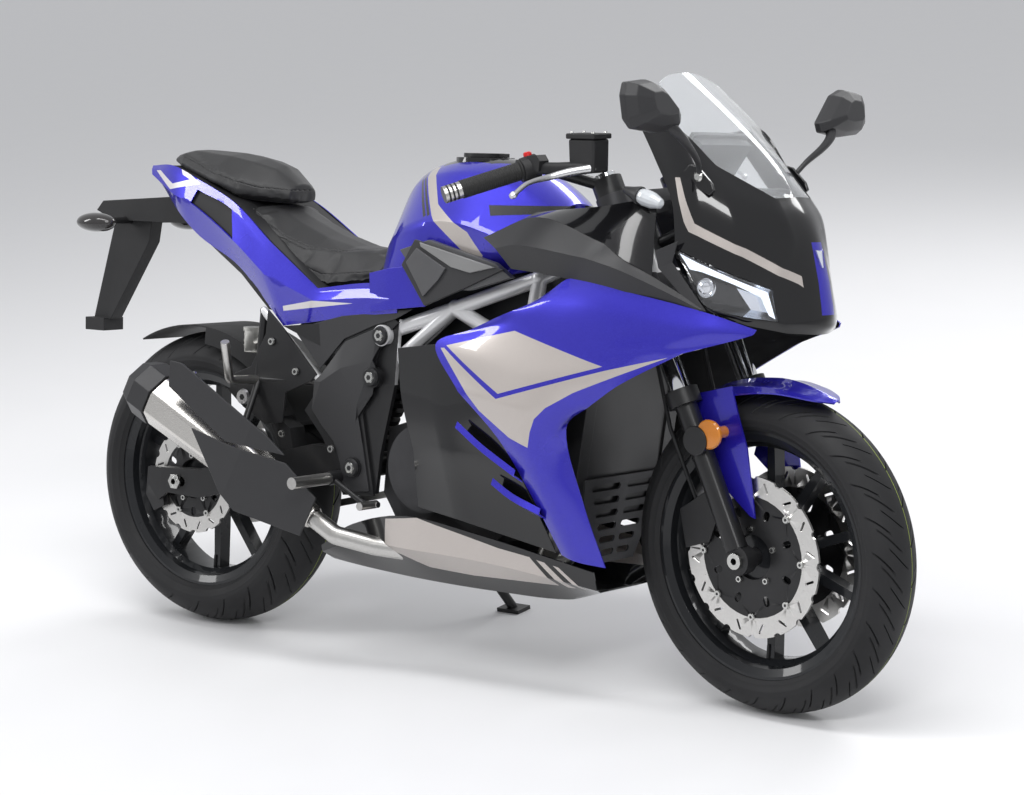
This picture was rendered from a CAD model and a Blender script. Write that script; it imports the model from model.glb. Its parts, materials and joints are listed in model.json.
"""Looks of a faired sport motorcycle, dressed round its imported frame.

Lengths in the tables are millimetres in the machine's upright frame: X forward, Y to the
rider's left, Z up, with the rear axle over the origin. Machine turns them into the metres of
the parked machine, which leans on its side stand with the steering turned a little.
"""

from __future__ import annotations

import json
import logging
import math
from dataclasses import dataclass, field
from enum import Enum
from functools import cache
from typing import Callable, Iterable, Sequence

import bmesh
import bpy
from mathutils import Matrix, Vector

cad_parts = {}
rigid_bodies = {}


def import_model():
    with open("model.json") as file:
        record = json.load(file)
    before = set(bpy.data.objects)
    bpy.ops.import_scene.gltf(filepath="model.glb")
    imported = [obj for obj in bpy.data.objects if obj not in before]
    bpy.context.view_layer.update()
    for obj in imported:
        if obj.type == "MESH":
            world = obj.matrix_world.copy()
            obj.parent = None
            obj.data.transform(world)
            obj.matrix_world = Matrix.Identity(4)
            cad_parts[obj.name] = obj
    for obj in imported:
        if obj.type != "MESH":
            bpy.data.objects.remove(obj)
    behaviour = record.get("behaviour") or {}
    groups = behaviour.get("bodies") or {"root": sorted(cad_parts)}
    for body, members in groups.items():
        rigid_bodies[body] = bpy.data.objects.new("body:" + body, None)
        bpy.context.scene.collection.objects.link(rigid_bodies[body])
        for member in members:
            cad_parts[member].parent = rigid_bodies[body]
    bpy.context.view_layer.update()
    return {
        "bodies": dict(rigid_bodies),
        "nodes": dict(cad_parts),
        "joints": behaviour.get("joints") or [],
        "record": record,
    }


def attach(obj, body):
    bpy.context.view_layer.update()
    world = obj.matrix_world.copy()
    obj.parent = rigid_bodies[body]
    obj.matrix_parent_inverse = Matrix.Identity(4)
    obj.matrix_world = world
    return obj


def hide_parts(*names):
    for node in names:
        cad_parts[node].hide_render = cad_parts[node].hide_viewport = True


LOG = logging.getLogger("sport_motorcycle")

Point = tuple[float, float, float]
Flat = tuple[float, float]
Colour = tuple[float, float, float]
Outline = tuple[Flat, ...]
Socket = bpy.types.NodeSocket
Form = bmesh.types.BMesh

MM = 0.001
RAKE = math.radians(25.0)
STEM_FOOT = Vector((1488, 0, 0))
FRONT_HUB = Vector((1390, 0, 300))
REAR_HUB = Vector((0, 0, 312))
FORK_SPREAD = 100.0
RISE = Vector((-math.sin(RAKE), 0, math.cos(RAKE)))
MERGE = 0.02
NODE_MERGE = 0.00002
KEPT_FOLD = 28.0
PANEL_WALL = 3.0
STEPS = 7


class Side(Enum):
    """The two sides of the machine, by the sign of Y."""

    RIGHT = -1
    LEFT = 1

    @property
    def word(self) -> str:
        """The side as it ends a piece's name."""
        return self.name.lower()


class Body(Enum):
    """The bodies of the frame that a piece can ride on."""

    CHASSIS = "chassis"
    STEERING = "steering"
    FRONT_WHEEL = "front_wheel"
    REAR_WHEEL = "rear_wheel"
    STAND = "stand"
    LID = "lid"


class View(Enum):
    """The way along which a flat outline is thrown onto a surface."""

    SIDE = 1
    TOP = 2
    FRONT = 0


# Shader nodes


class Nodes:
    """Adds nodes to a tree and feeds their inputs."""

    def __init__(self, tree: bpy.types.NodeTree) -> None:
        """Work on one node tree."""
        self.tree = tree

    def feed(self, socket: bpy.types.NodeSocket, value: object) -> None:
        """Link an output to an input, or set the input's own value."""
        if isinstance(value, bpy.types.NodeSocket):
            self.tree.links.new(value, socket)
        else:
            socket.default_value = value

    def add(self, kind: str, settings: dict | None = None, *values: object,
            **inputs: object) -> bpy.types.Node:
        """Add a node.

        Args:
            kind: Its type.
            settings: Values of its properties.
            values: What its first inputs get, in order.
            inputs: What other inputs get, with underscores for the spaces in their names.

        Returns:
            The node.
        """
        node = self.tree.nodes.new(kind)
        for name, value in (settings or {}).items():
            setattr(node, name, value)
        for number, value in enumerate(values):
            self.feed(node.inputs[number], value)
        for label, value in inputs.items():
            self.feed(node.inputs[label.replace("_", " ")], value)
        return node

    def noise(self, place: Socket, scale: float | Socket, detail: float = 2.0) -> Socket:
        """Noise at a place."""
        return self.add("ShaderNodeTexNoise", Vector=place, Scale=scale, Detail=detail).outputs["Fac"]

    def spread(self, value: Socket, low: float | Socket, high: float | Socket, **span: float) -> Socket:
        """A value stretched from its span, 0 to 1 unless given, over the range from low to high."""
        return self.add("ShaderNodeMapRange", Value=value, To_Min=low, To_Max=high, **span).outputs["Result"]

    def bump(self, height: Socket, strength: float | Socket, distance: float, invert: bool = False) -> Socket:
        """The normal of a bumped surface."""
        node = self.add("ShaderNodeBump", {"invert": invert}, Height=height, Strength=strength,
                        Distance=distance)
        return node.outputs["Normal"]

    def math(self, operation: str, *values: float | Socket) -> Socket:
        """The result of a calculation with two values."""
        return self.add("ShaderNodeMath", {"operation": operation}, *values).outputs["Value"]

    def mix(self, share: Socket, first: tuple | Socket, second: tuple | Socket) -> Socket:
        """Two colours mixed by a share."""
        node = self.add("ShaderNodeMix", {"data_type": "RGBA"}, Factor=share, A=first, B=second)
        return node.outputs["Result"]

    def rays(self, *kinds: str) -> Socket:
        """1 for the named kinds of ray and 0 for the others."""
        path = self.add("ShaderNodeLightPath").outputs
        seen = path[kinds[0]]
        for kind in kinds[1:]:
            seen = self.math("MAXIMUM", seen, path[kind])
        return seen


def new_group(name: str, inputs: dict[str, str], outputs: dict[str, str],
              kind: str = "ShaderNodeTree") -> Nodes:
    """Start a node group.

    Args:
        name: The group's name.
        inputs: Type of each input, by its name.
        outputs: Type of each output, by its name.
        kind: Type of the group.

    Returns:
        The nodes of the empty group.
    """
    group = bpy.data.node_groups.new(name, kind)
    for way, sockets in (("INPUT", inputs), ("OUTPUT", outputs)):
        for label, holds in sockets.items():
            group.interface.new_socket(name=label, in_out=way, socket_type="NodeSocket" + holds)
    return Nodes(group)


@cache
def grain_group() -> bpy.types.NodeTree:
    """Fine surface grain: a roughness that wanders and a small bump. Made once."""
    nodes = new_group("surface_grain", {"Vector": "Vector", "Scale": "Float", "Depth": "Float",
                                        "Rough Low": "Float",
                                        "Rough High": "Float"}, {"Roughness": "Float", "Normal": "Vector"})
    given = nodes.add("NodeGroupInput").outputs
    broad = nodes.noise(given["Vector"], 7.0, 4.0)
    rough = nodes.spread(broad, given["Rough Low"], given["Rough High"], From_Min=0.3, From_Max=0.7)
    fine = nodes.noise(given["Vector"], given["Scale"], 3.0)
    nodes.add("NodeGroupOutput", Roughness=rough, Normal=nodes.bump(fine, given["Depth"], 0.0004))
    return nodes.tree


@cache
def edge_group() -> bpy.types.NodeTree:
    """Edge wear: another colour on the sharp outer edges, broken up by noise. Made once."""
    nodes = new_group("edge_wear", {"Vector": "Vector", "Amount": "Float", "Colour": "Color",
                                    "Edge": "Color"},
                      {"Colour": "Color"})
    given = nodes.add("NodeGroupInput").outputs
    fold = nodes.add("ShaderNodeNewGeometry").outputs["Pointiness"]
    sharp = nodes.spread(fold, 0.0, 1.0, From_Min=0.515, From_Max=0.60)
    broken = nodes.math("MULTIPLY", sharp, nodes.noise(given["Vector"], 42.0, 5.0))
    amount = nodes.math("MULTIPLY", broken, given["Amount"])
    nodes.add("NodeGroupOutput", Colour=nodes.mix(amount, given["Colour"], given["Edge"]))
    return nodes.tree


def opaque(colour: Colour, share: float = 1.0, lift: float = 0.0) -> tuple[float, float, float, float]:
    """A colour for a socket, scaled by a share and lifted."""
    return tuple(min(1.0, c * share + lift) for c in colour) + (1.0,)


class Sketch(Nodes):
    """A material being made, with the nodes that every finish starts from."""

    def __init__(self, name: str) -> None:
        """Start the material of this name."""
        self.material = bpy.data.materials.new(name)
        self.material.use_nodes = True
        super().__init__(self.material.node_tree)
        self.shader = self.tree.nodes["Principled BSDF"]
        self.place = self.add("ShaderNodeTexCoord").outputs["Object"]

    def set(self, **values: object) -> None:
        """Set or link inputs of the shader, with underscores for the spaces in their names."""
        for label, value in values.items():
            self.feed(self.shader.inputs[label.replace("_", " ")], value)

    def grain(self, scale: float, depth: float, low: float, high: float) -> None:
        """Roughness between low and high, with a bumped grain of this scale and depth."""
        made = self.add("ShaderNodeGroup", {"node_tree": grain_group()}, Vector=self.place, Scale=scale,
                        Depth=depth, Rough_Low=low, Rough_High=high).outputs
        self.set(Roughness=made["Roughness"], Normal=made["Normal"])

    def worn(self, colour: tuple, edge: tuple, amount: float) -> None:
        """Base colour, with an amount of another one on the sharp edges."""
        made = self.add("ShaderNodeGroup", {"node_tree": edge_group()}, Vector=self.place, Amount=amount,
                        Colour=colour, Edge=edge).outputs
        self.set(Base_Color=made["Colour"])


@dataclass(frozen=True)
class Finish:
    """A finish, made into a material the first time that a piece asks for it."""

    name: str
    slot: str
    colour: Colour

    def dress(self, sketch: Sketch) -> None:
        """Set the shader up. Each kind of finish has its own."""
        raise NotImplementedError

    def material(self) -> bpy.types.Material:
        """The finish's material, made once."""
        found = bpy.data.materials.get(self.name)
        if found:
            return found
        sketch = Sketch(self.name)
        self.dress(sketch)
        return sketch.material


@dataclass(frozen=True)
class Paint(Finish):
    """Sprayed paint under clear lacquer, with a fine flake."""

    metallic: float = 0.35
    rough: float = 0.34
    flake: Colour = (0.10, 0.10, 0.9)

    def dress(self, sketch: Sketch) -> None:
        """Base coat with a wandering flake, then a clear coat."""
        flakes = sketch.spread(sketch.noise(sketch.place, 2600.0, 1.0), 0.0, 1.0, From_Min=0.52,
                               From_Max=0.80)
        sketch.grain(160.0, 0.012, self.rough - 0.04, self.rough + 0.05)
        sketch.set(Base_Color=sketch.mix(flakes, opaque(self.colour), opaque(self.flake)),
                   Metallic=self.metallic,
                   Coat_Weight=1.0, Coat_Roughness=0.03, Coat_IOR=1.5, Specular_IOR_Level=0.2)


@dataclass(frozen=True)
class Plastic(Finish):
    """Moulded plastic or powder coat, from satin to gloss."""

    low: float = 0.42
    high: float = 0.52
    grain: float = 1100.0
    depth: float = 0.12
    edge: float = 0.25
    coat: float = 0.0
    metallic: float = 0.0

    def dress(self, sketch: Sketch) -> None:
        """Grain, slightly lighter edges and, on gloss mouldings, a clear coat."""
        sketch.worn(opaque(self.colour), opaque(self.colour, 2.2, 0.02), self.edge)
        sketch.grain(self.grain, self.depth, self.low, self.high)
        sketch.set(Coat_Weight=self.coat, Coat_Roughness=0.04, Metallic=self.metallic,
                   Specular_IOR_Level=0.15 if self.coat else 0.4)


@dataclass(frozen=True)
class Metal(Finish):
    """Bare, plated or brushed metal."""

    low: float = 0.22
    high: float = 0.34
    grain: float = 500.0
    depth: float = 0.05
    brush: tuple[float, float, float] = (1.0, 1.0, 1.0)
    dark: float = 0.75

    def dress(self, sketch: Sketch) -> None:
        """Streaks along the brushing, in the colour and the roughness."""
        brushed = sketch.add("ShaderNodeMapping", Vector=sketch.place, Scale=self.brush).outputs["Vector"]
        streak = sketch.noise(brushed, self.grain, 4.0)
        sketch.set(Base_Color=sketch.mix(streak, opaque(self.colour, self.dark), opaque(self.colour)),
                   Roughness=sketch.spread(streak, self.low, self.high), Metallic=1.0,
                   Normal=sketch.bump(streak, self.depth, 0.0003))


@dataclass(frozen=True)
class Rubber(Finish):
    """Matt rubber with a little bloom."""

    low: float = 0.55
    high: float = 0.75
    depth: float = 0.25

    def dress(self, sketch: Sketch) -> None:
        """A grey bloom that wanders over dark rubber."""
        bloom = sketch.noise(sketch.place, 11.0, 6.0)
        sketch.grain(700.0, self.depth, self.low, self.high)
        sketch.set(Base_Color=sketch.mix(bloom, opaque(self.colour), opaque(self.colour, 1.5, 0.004)),
                   Specular_IOR_Level=0.35)


@dataclass(frozen=True)
class Vinyl(Finish):
    """Seat cover with a pebbled grain and a soft sheen."""

    def dress(self, sketch: Sketch) -> None:
        """Pebbles from a cell pattern, darker between them."""
        cells = sketch.add("ShaderNodeTexVoronoi", Vector=sketch.place, Scale=850.0).outputs["Distance"]
        sketch.set(Base_Color=sketch.mix(cells, opaque(self.colour, 1.12), opaque(self.colour, 0.72)),
                   Roughness=sketch.spread(sketch.noise(sketch.place, 9.0), 0.42, 0.6),
                   Normal=sketch.bump(cells, 0.28, 0.0004, True), Sheen_Weight=0.08, Sheen_Roughness=0.4)


@dataclass(frozen=True)
class Clear(Finish):
    """Clear or tinted plastic that lets light through."""

    rough: float = 0.02
    ior: float = 1.45
    clear: float = 1.0

    def dress(self, sketch: Sketch) -> None:
        """Plain transmission with faint smears in the roughness."""
        smear = sketch.noise(sketch.place, 14.0)
        sketch.set(Base_Color=opaque(self.colour), Roughness=sketch.spread(smear, self.rough,
                                                                           self.rough + 0.05),
                   Transmission_Weight=self.clear, IOR=self.ior, Coat_Weight=0.3, Coat_Roughness=0.02)


@dataclass(frozen=True)
class Glow(Finish):
    """A diffusing light guide that shines faintly."""

    strength: float = 0.6

    def dress(self, sketch: Sketch) -> None:
        """Milky plastic with a weak light of its own."""
        sketch.worn(opaque(self.colour), opaque((1.0, 1.0, 1.0)), 0.1)
        sketch.set(Roughness=0.25, Emission_Color=opaque(self.colour), Emission_Strength=self.strength,
                   Coat_Weight=0.6)


NO_BRUSH = (1.0, 1.0, 1.0)

BLUE = Paint("blue_lacquer", "blue_paint", (0.016, 0.008, 0.40), 0.42, 0.30)
SILVER_GRAPHIC = Paint("silver_beige_graphic", "blue_paint", (0.50, 0.455, 0.425), 0.45, 0.38,
                       (0.68, 0.63, 0.60))
WHITE_GRAPHIC = Paint("pale_graphic", "blue_paint", (0.72, 0.69, 0.70), 0.3, 0.35, (0.8, 0.78, 0.78))
BLACK_GRAPHIC = Paint("black_graphic", "black_gloss", (0.012, 0.012, 0.014), 0.1, 0.25, (0.03, 0.03, 0.03))
GLOSS_BLACK = Plastic("gloss_black_moulding", "black_gloss", (0.006, 0.006, 0.007), 0.16, 0.24, 300.0, 0.01,
                      0.05, 0.8)
CHARCOAL = Plastic("satin_charcoal_moulding", "charcoal", (0.027, 0.027, 0.029), 0.38, 0.48, 1200.0, 0.16,
                   0.2)
MID_GREY = Plastic("satin_grey_moulding", "charcoal", (0.075, 0.075, 0.079), 0.38, 0.48, 1200.0, 0.14, 0.2)
LIGHT_GREY = Plastic("satin_light_grey", "charcoal", (0.21, 0.21, 0.21), 0.32, 0.42, 1200.0, 0.12, 0.2)
DARK_PLASTIC = Plastic("rough_black_plastic", "charcoal", (0.010, 0.010, 0.011), 0.5, 0.62, 900.0, 0.25, 0.25)
BLACK_COAT = Plastic("black_powder_coat", "black_metal", (0.012, 0.012, 0.013), 0.30, 0.42, 1400.0, 0.1, 0.3)
RIM_COAT = Plastic("rim_coat", "black_metal", (0.014, 0.015, 0.017), 0.24, 0.34, 1400.0, 0.05, 0.35, 0.4)
SILVER_COAT = Plastic("silver_frame_coat", "silver_frame", (0.74, 0.74, 0.75), 0.30, 0.40, 900.0, 0.05, 0.3,
                      0.5, 0.35)
CAST = Plastic("dark_cast_metal", "engine_metal", (0.050, 0.050, 0.053), 0.42, 0.56, 420.0, 0.35, 0.5, 0.0,
               0.55)
CAST_BRIGHT = Metal("cast_lever_metal", "steel", (0.66, 0.66, 0.67), 0.24, 0.34, 300.0, 0.03)
STEEL = Metal("brushed_steel", "steel", (0.60, 0.59, 0.57), 0.24, 0.38, 260.0, 0.06)
CAN_STEEL = Metal("brushed_can_steel", "steel", (0.66, 0.64, 0.61), 0.20, 0.32, 60.0, 0.05,
                  (1.2, 18.0, 18.0), 0.86)
DISC_STEEL = Metal("ground_disc_steel", "steel", (0.68, 0.67, 0.65), 0.24, 0.36, 220.0, 0.05, NO_BRUSH, 0.84)
REFLECTOR = Metal("lamp_reflector", "steel", (0.80, 0.83, 0.88), 0.16, 0.24, 60.0, 0.02, NO_BRUSH, 0.9)
CHROME = Metal("bright_plating", "steel", (0.78, 0.79, 0.80), 0.06, 0.12, 30.0, 0.01, NO_BRUSH, 0.95)
BOLT = Metal("bolt_zinc", "steel", (0.62, 0.62, 0.60), 0.2, 0.3, 300.0, 0.03)
TYRE = Rubber("road_tyre", "tyre_rubber", (0.011, 0.011, 0.012))
GRIP = Rubber("grip_rubber_black", "grip_rubber", (0.014, 0.014, 0.014), 0.5, 0.68)
HOSE = Rubber("hose_rubber", "grip_rubber", (0.012, 0.012, 0.013), 0.35, 0.5, 0.1)
TREAD_MARK = Rubber("tread_marking", "tyre_rubber", (0.28, 0.36, 0.05), 0.6, 0.7)
SEAT_BLACK = Vinyl("seat_cover_black", "seat_vinyl", (0.017, 0.017, 0.018))
SEAT_GREY = Vinyl("seat_cover_grey", "seat_vinyl", (0.185, 0.182, 0.178))
SEAT_MID = Vinyl("seat_cover_dark_grey", "seat_vinyl", (0.050, 0.050, 0.050))
SCREEN = Clear("clear_screen_acrylic", "clear_screen", (0.93, 0.95, 0.97), 0.03, 1.3, 0.86)
LENS = Clear("lamp_lens", "lens", (0.96, 0.97, 1.0), 0.01)
SMOKE = Plastic("smoked_lens", "lens", (0.030, 0.028, 0.028), 0.08, 0.14, 90.0, 0.05, 0.1, 0.9)
RED_LENS = Plastic("red_lens", "lamp_red", (0.50, 0.012, 0.010), 0.08, 0.14, 60.0, 0.3, 0.1, 1.0)
AMBER = Plastic("amber_reflector", "lamp_red", (0.66, 0.22, 0.02), 0.12, 0.2, 260.0, 0.6, 0.1, 1.0)
RED_KEY = Plastic("red_switch", "lamp_red", (0.55, 0.01, 0.01), 0.25, 0.35)
LED = Glow("led_guide", "lens", (0.86, 0.92, 1.0))
CUP = Clear("milky_reservoir", "lens", (0.86, 0.85, 0.80), 0.35, 1.3)
PALE_LENS = Plastic("signal_crystal", "lens", (0.62, 0.65, 0.68), 0.08, 0.16, 240.0, 0.5, 0.2, 1.0)
MIRROR = Metal("mirror_glass", "steel", (0.86, 0.87, 0.88), 0.01, 0.02, 5.0, 0.0, NO_BRUSH, 0.99)


# Curves, grids and meshes


def through(points: Sequence[Vector], steps: int, hard: Iterable[int] = ()) -> list[Vector]:
    """Points along a smooth curve that passes through every given point.

    Args:
        points: The points that the curve passes through.
        steps: Pieces between two neighbours.
        hard: Indices where the curve may have a corner.

    Returns:
        The points of the curve, first and last included.
    """
    corners = set(hard)
    count = len(points)
    gaps = [(points[i + 1] - points[i]).length or 1e-6 for i in range(count - 1)]

    def slope(i: int) -> Vector:
        return (points[i + 1] - points[i - 1]) / (gaps[i - 1] + gaps[i])

    out: list[Vector] = []
    for i in range(count - 1):
        a, b, gap = points[i], points[i + 1], gaps[i]
        flat = (b - a) / gap
        start = flat if i == 0 or i in corners else slope(i)
        end = flat if i + 1 == count - 1 or i + 1 in corners else slope(i + 1)
        for k in range(steps):
            t = k / steps
            s = t * t
            c = s * t
            out.append(a * (2 * c - 3 * s + 1) + start * gap * (c - 2 * s + t)
                       + b * (3 * s - 2 * c) + end * gap * (c - s))
    out.append(points[-1])
    return out


def smooth_grid(rows: Sequence[Sequence[Point]], steps: int, hard_rows: Iterable[int] = (),
                hard_columns: Iterable[int] = ()) -> list[list[Vector]]:
    """A fine grid whose surface passes through every point of a coarse one.

    Args:
        rows: The coarse grid.
        steps: Cells between two neighbours, both ways.
        hard_rows: Rows that are creases.
        hard_columns: Columns that are creases.

    Returns:
        The fine grid.
    """
    along = [through([Vector(p) for p in row], steps, hard_columns) for row in rows]
    across = [through(list(line), steps, hard_rows) for line in zip(*along)]
    return [list(line) for line in zip(*across)]


def inside(spot: Flat, polygon: Sequence[Flat]) -> bool:
    """Whether a flat point lies inside a polygon."""
    x, y = spot
    hit = False
    for (ax, ay), (bx, by) in zip(polygon, [*polygon[1:], polygon[0]]):
        if (ay > y) != (by > y) and x < (bx - ax) * (y - ay) / (by - ay) + ax:
            hit = not hit
    return hit


def paint_region(form: Form, polygon: Sequence[Flat], index: int, view: View = View.SIDE,
                 keep: Callable[[Vector], bool] | None = None) -> None:
    """Cut a flat outline into a mesh and give the faces inside it another material.

    Args:
        form: The mesh, in upright millimetres.
        polygon: The outline, in the two axes that the view leaves.
        index: Material number for the faces inside.
        view: The way the outline is thrown onto the mesh.
        keep: Test of a face's middle; only faces that pass it are cut or painted.
    """
    drop = view.value
    axes = [a for a in range(3) if a != drop]
    keep = keep or (lambda _: True)

    def flat(v: Vector) -> Flat:
        return v[axes[0]], v[axes[1]]

    for a, b in zip(polygon, [*polygon[1:], polygon[0]]):
        low = (min(a[0], b[0]), min(a[1], b[1]))
        high = (max(a[0], b[0]), max(a[1], b[1]))
        near = []
        for face in form.faces:
            if not keep(face.calc_center_median()):
                continue
            spots = [flat(v.co) for v in face.verts]
            xs, ys = [s[0] for s in spots], [s[1] for s in spots]
            if max(xs) >= low[0] and min(xs) <= high[0] and max(ys) >= low[1] and min(ys) <= high[1]:
                near.append(face)
        if not near:
            continue
        normal = Vector((0, 0, 0))
        normal[axes[0]], normal[axes[1]] = b[1] - a[1], a[0] - b[0]
        origin = Vector((0, 0, 0))
        origin[axes[0]], origin[axes[1]] = a
        edges = {e for f in near for e in f.edges}
        verts = {v for f in near for v in f.verts}
        bmesh.ops.bisect_plane(form, geom=[*near, *edges, *verts], dist=0.02, plane_co=origin,
                               plane_no=normal.normalized())
    for face in form.faces:
        middle = face.calc_center_median()
        if keep(middle) and inside(flat(middle), polygon):
            face.material_index = index


def circle(count: int) -> list[Flat]:
    """Points round a circle of radius 1."""
    return [(math.cos(2 * math.pi * k / count), math.sin(2 * math.pi * k / count)) for k in range(count)]


def new_object(name: str, data: bpy.types.ID) -> bpy.types.Object:
    """An object at the origin, linked into the scene."""
    made = bpy.data.objects.new(name, data)
    bpy.context.scene.collection.objects.link(made)
    return made


def new_mesh(name: str, form: Form, finishes: Sequence[Finish] = ()) -> bpy.types.Mesh:
    """A mesh from a form, which is freed, with a material for each finish."""
    mesh = bpy.data.meshes.new(name)
    form.to_mesh(mesh)
    form.free()
    for finish in finishes:
        mesh.materials.append(finish.material())
    return mesh


def soften(piece: bpy.types.Object, width: float, angle: float = 30.0, segments: int = 2) -> None:
    """Round a piece's sharp edges with a live Bevel.

    Args:
        piece: The piece.
        width: Width of the rounding in millimetres.
        angle: Only folds sharper than this, in degrees, are rounded.
        segments: Facets across the rounding.
    """
    bevel = piece.modifiers.new("soft_edges", "BEVEL")
    bevel.width = width * MM
    bevel.segments = segments
    bevel.limit_method = "ANGLE"
    bevel.angle_limit = math.radians(angle)
    bevel.harden_normals = True
    bevel.miter_outer = "MITER_ARC"


@dataclass
class Machine:
    """The parked machine: places, bodies and the pieces made so far."""

    upright: Matrix
    steered: Matrix
    count: int = 0

    @classmethod
    def from_frame(cls, frame: dict) -> Machine:
        """Work out how the parked machine stands from its joints.


        Returns:
            The machine, with its upright and its steered places.
        """
        joints = {joint["name"]: joint for joint in frame["joints"]}
        rear, front = joints["rear_wheel_spin"], joints["front_wheel_spin"]
        left = Vector(rear["axis"]).normalized()
        stem = Vector(joints["steering"]["axis"]).normalized()
        ahead = left.cross(stem)
        x = ahead * math.cos(RAKE) - stem * math.sin(RAKE)
        z = ahead * math.sin(RAKE) + stem * math.cos(RAKE)
        turn = Matrix((x, left, z)).transposed()
        shift = Vector(rear["pos_m"]) - turn @ (REAR_HUB * MM)
        upright = Matrix.Translation(shift) @ turn.to_4x4() @ Matrix.Scale(MM, 4)
        wheel = turn.transposed() @ Vector(front["axis"])
        angle = math.atan2(wheel.dot(RISE.cross(Vector((0, 1, 0)))), wheel.y)
        hub = upright.inverted() @ Vector(front["pos_m"])
        turns = [Matrix.Translation(STEM_FOOT) @ Matrix.Rotation(a, 4, RISE) @ Matrix.Translation(-STEM_FOOT)
                 for a in (angle, -angle)]
        return cls(upright, upright @ min(turns, key=lambda way: (way @ FRONT_HUB - hub).length))

    def place(self, body: Body) -> Matrix:
        """The matrix from upright millimetres to a body's rest place."""
        return self.steered if body in (Body.STEERING, Body.FRONT_WHEEL) else self.upright

    def unturned(self, spot: Point) -> Vector:
        """Where a point of the turned front lies when the steering is straight."""
        return self.steered.inverted() @ (self.upright @ Vector(spot))

    def fit(self, piece: bpy.types.Object, body: Body,
            replaces: Sequence[str] = ()) -> bpy.types.Object:
        """Register a finished piece.

        Args:
            piece: The object, with its place in its mesh.
            body: What it rides on.
            replaces: CAD nodes that it stands for.

        Returns:
            The same object.
        """
        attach(piece, body.value)
        if replaces:
            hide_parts(*replaces)
        self.count += 1
        LOG.info("%s: %d faces on %s", piece.name, len(piece.data.polygons), body.value)
        return piece

    def piece(self, name: str, form: Form, finishes: Sequence[Finish], body: Body = Body.CHASSIS,
              replaces: Sequence[str] = (), sharp: float = 32.0, bevel: Sequence[float] = (),
              placed: bool = False) -> None:
        """Turn a mesh into a piece.

        Args:
            name: The piece's name.
            form: The mesh, in upright millimetres. It is freed here.
            finishes: One for each material number.
            body: What it rides on.
            replaces: CAD nodes that it stands for.
            sharp: Edges with a sharper fold than this many degrees stay crisp.
            bevel: What soften gets, or nothing for plain edges.
            placed: Whether the mesh is in its place and in metres already.
        """
        if not placed:
            bmesh.ops.transform(form, matrix=self.place(body), verts=form.verts)
        mesh = new_mesh(name, form, finishes)
        mesh.shade_smooth()
        mesh.set_sharp_from_angle(angle=math.radians(sharp))
        piece = self.fit(new_object(name, mesh), body, replaces)
        if bevel:
            soften(piece, *bevel)

    def pair(self, name: str, form: Form | Callable[[int], Form], finishes: Sequence[Finish], node: str = "",
             **more: object) -> None:
        """Make a piece for the right side and one for the left.

        Args:
            name: The pieces' name without their side.
            form: The right one's mesh, to be mirrored, or what makes the mesh of a side, -1 for the right.
            finishes: One for each material number.
            node: Name without its side of the CAD nodes that they stand for, if any.
            more: What piece gets besides.
        """
        forms = [form(-1), form(1)] if callable(form) else [form, mirrored(form)]
        for side, made in zip((Side.RIGHT, Side.LEFT), forms):
            replaces = (f"{node}_{side.word}",) if node else ()
            self.piece(f"{name}_{side.word}", made, finishes, replaces=replaces, **more)


def add_grid(form: Form, grid: Sequence[Sequence[Vector]], closed: bool = False,
             holes: Callable[[int, int], bool] | None = None) -> None:
    """Add a grid of points to a mesh as faces.

    Args:
        form: The mesh.
        grid: Rows of points.
        closed: Whether each row is a ring.
        holes: Says which cells stay open, by row and column.
    """
    columns = len(grid[0])
    verts = [[form.verts.new(p) for p in row] for row in grid]
    for i, (row, after) in enumerate(zip(verts, verts[1:])):
        for j in range(columns if closed else columns - 1):
            k = (j + 1) % columns
            spots = [row[j], row[k], after[k], after[j]]
            distinct = {tuple(round(x, 4) for x in v.co) for v in spots}
            if len(distinct) >= 3 and not (holes and holes(i, j)):
                form.faces.new(spots)


def thicken(form: Form, wall: float, towards: Vector, inner: int | None = None) -> None:
    """Give an open skin a wall on its inner side.

    Args:
        form: The skin.
        wall: Thickness.
        towards: Roughly the way from the skin to its inner side.
        inner: Material number of the inner side, if it has its own.
    """
    bmesh.ops.remove_doubles(form, verts=form.verts, dist=MERGE)
    bmesh.ops.recalc_face_normals(form, faces=form.faces)
    total = Vector((0, 0, 0))
    for face in form.faces:
        total += face.normal * face.calc_area()
    if total.dot(towards) > 0:
        bmesh.ops.reverse_faces(form, faces=form.faces)
    form.normal_update()
    outer = list(form.faces)
    inner_of = {v: form.verts.new(v.co - v.normal * wall) for v in list(form.verts)}
    border = [e for e in form.edges if len(e.link_faces) == 1]
    for face in outer:
        twin = form.faces.new([inner_of[v] for v in reversed(face.verts)])
        twin.material_index = face.material_index if inner is None else inner
    for edge in border:
        face = edge.link_faces[0]
        corners = list(face.verts)
        a, b = edge.verts
        if corners[(corners.index(a) + 1) % len(corners)] is not b:
            a, b = b, a
        rim = form.faces.new([b, a, inner_of[a], inner_of[b]])
        rim.material_index = face.material_index


def mirrored(form: Form) -> Form:
    """A copy of a mesh on the other side of the machine, with its faces still outwards."""
    other = form.copy()
    for vert in other.verts:
        vert.co.y = -vert.co.y
    bmesh.ops.reverse_faces(other, faces=other.faces)
    return other


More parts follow.
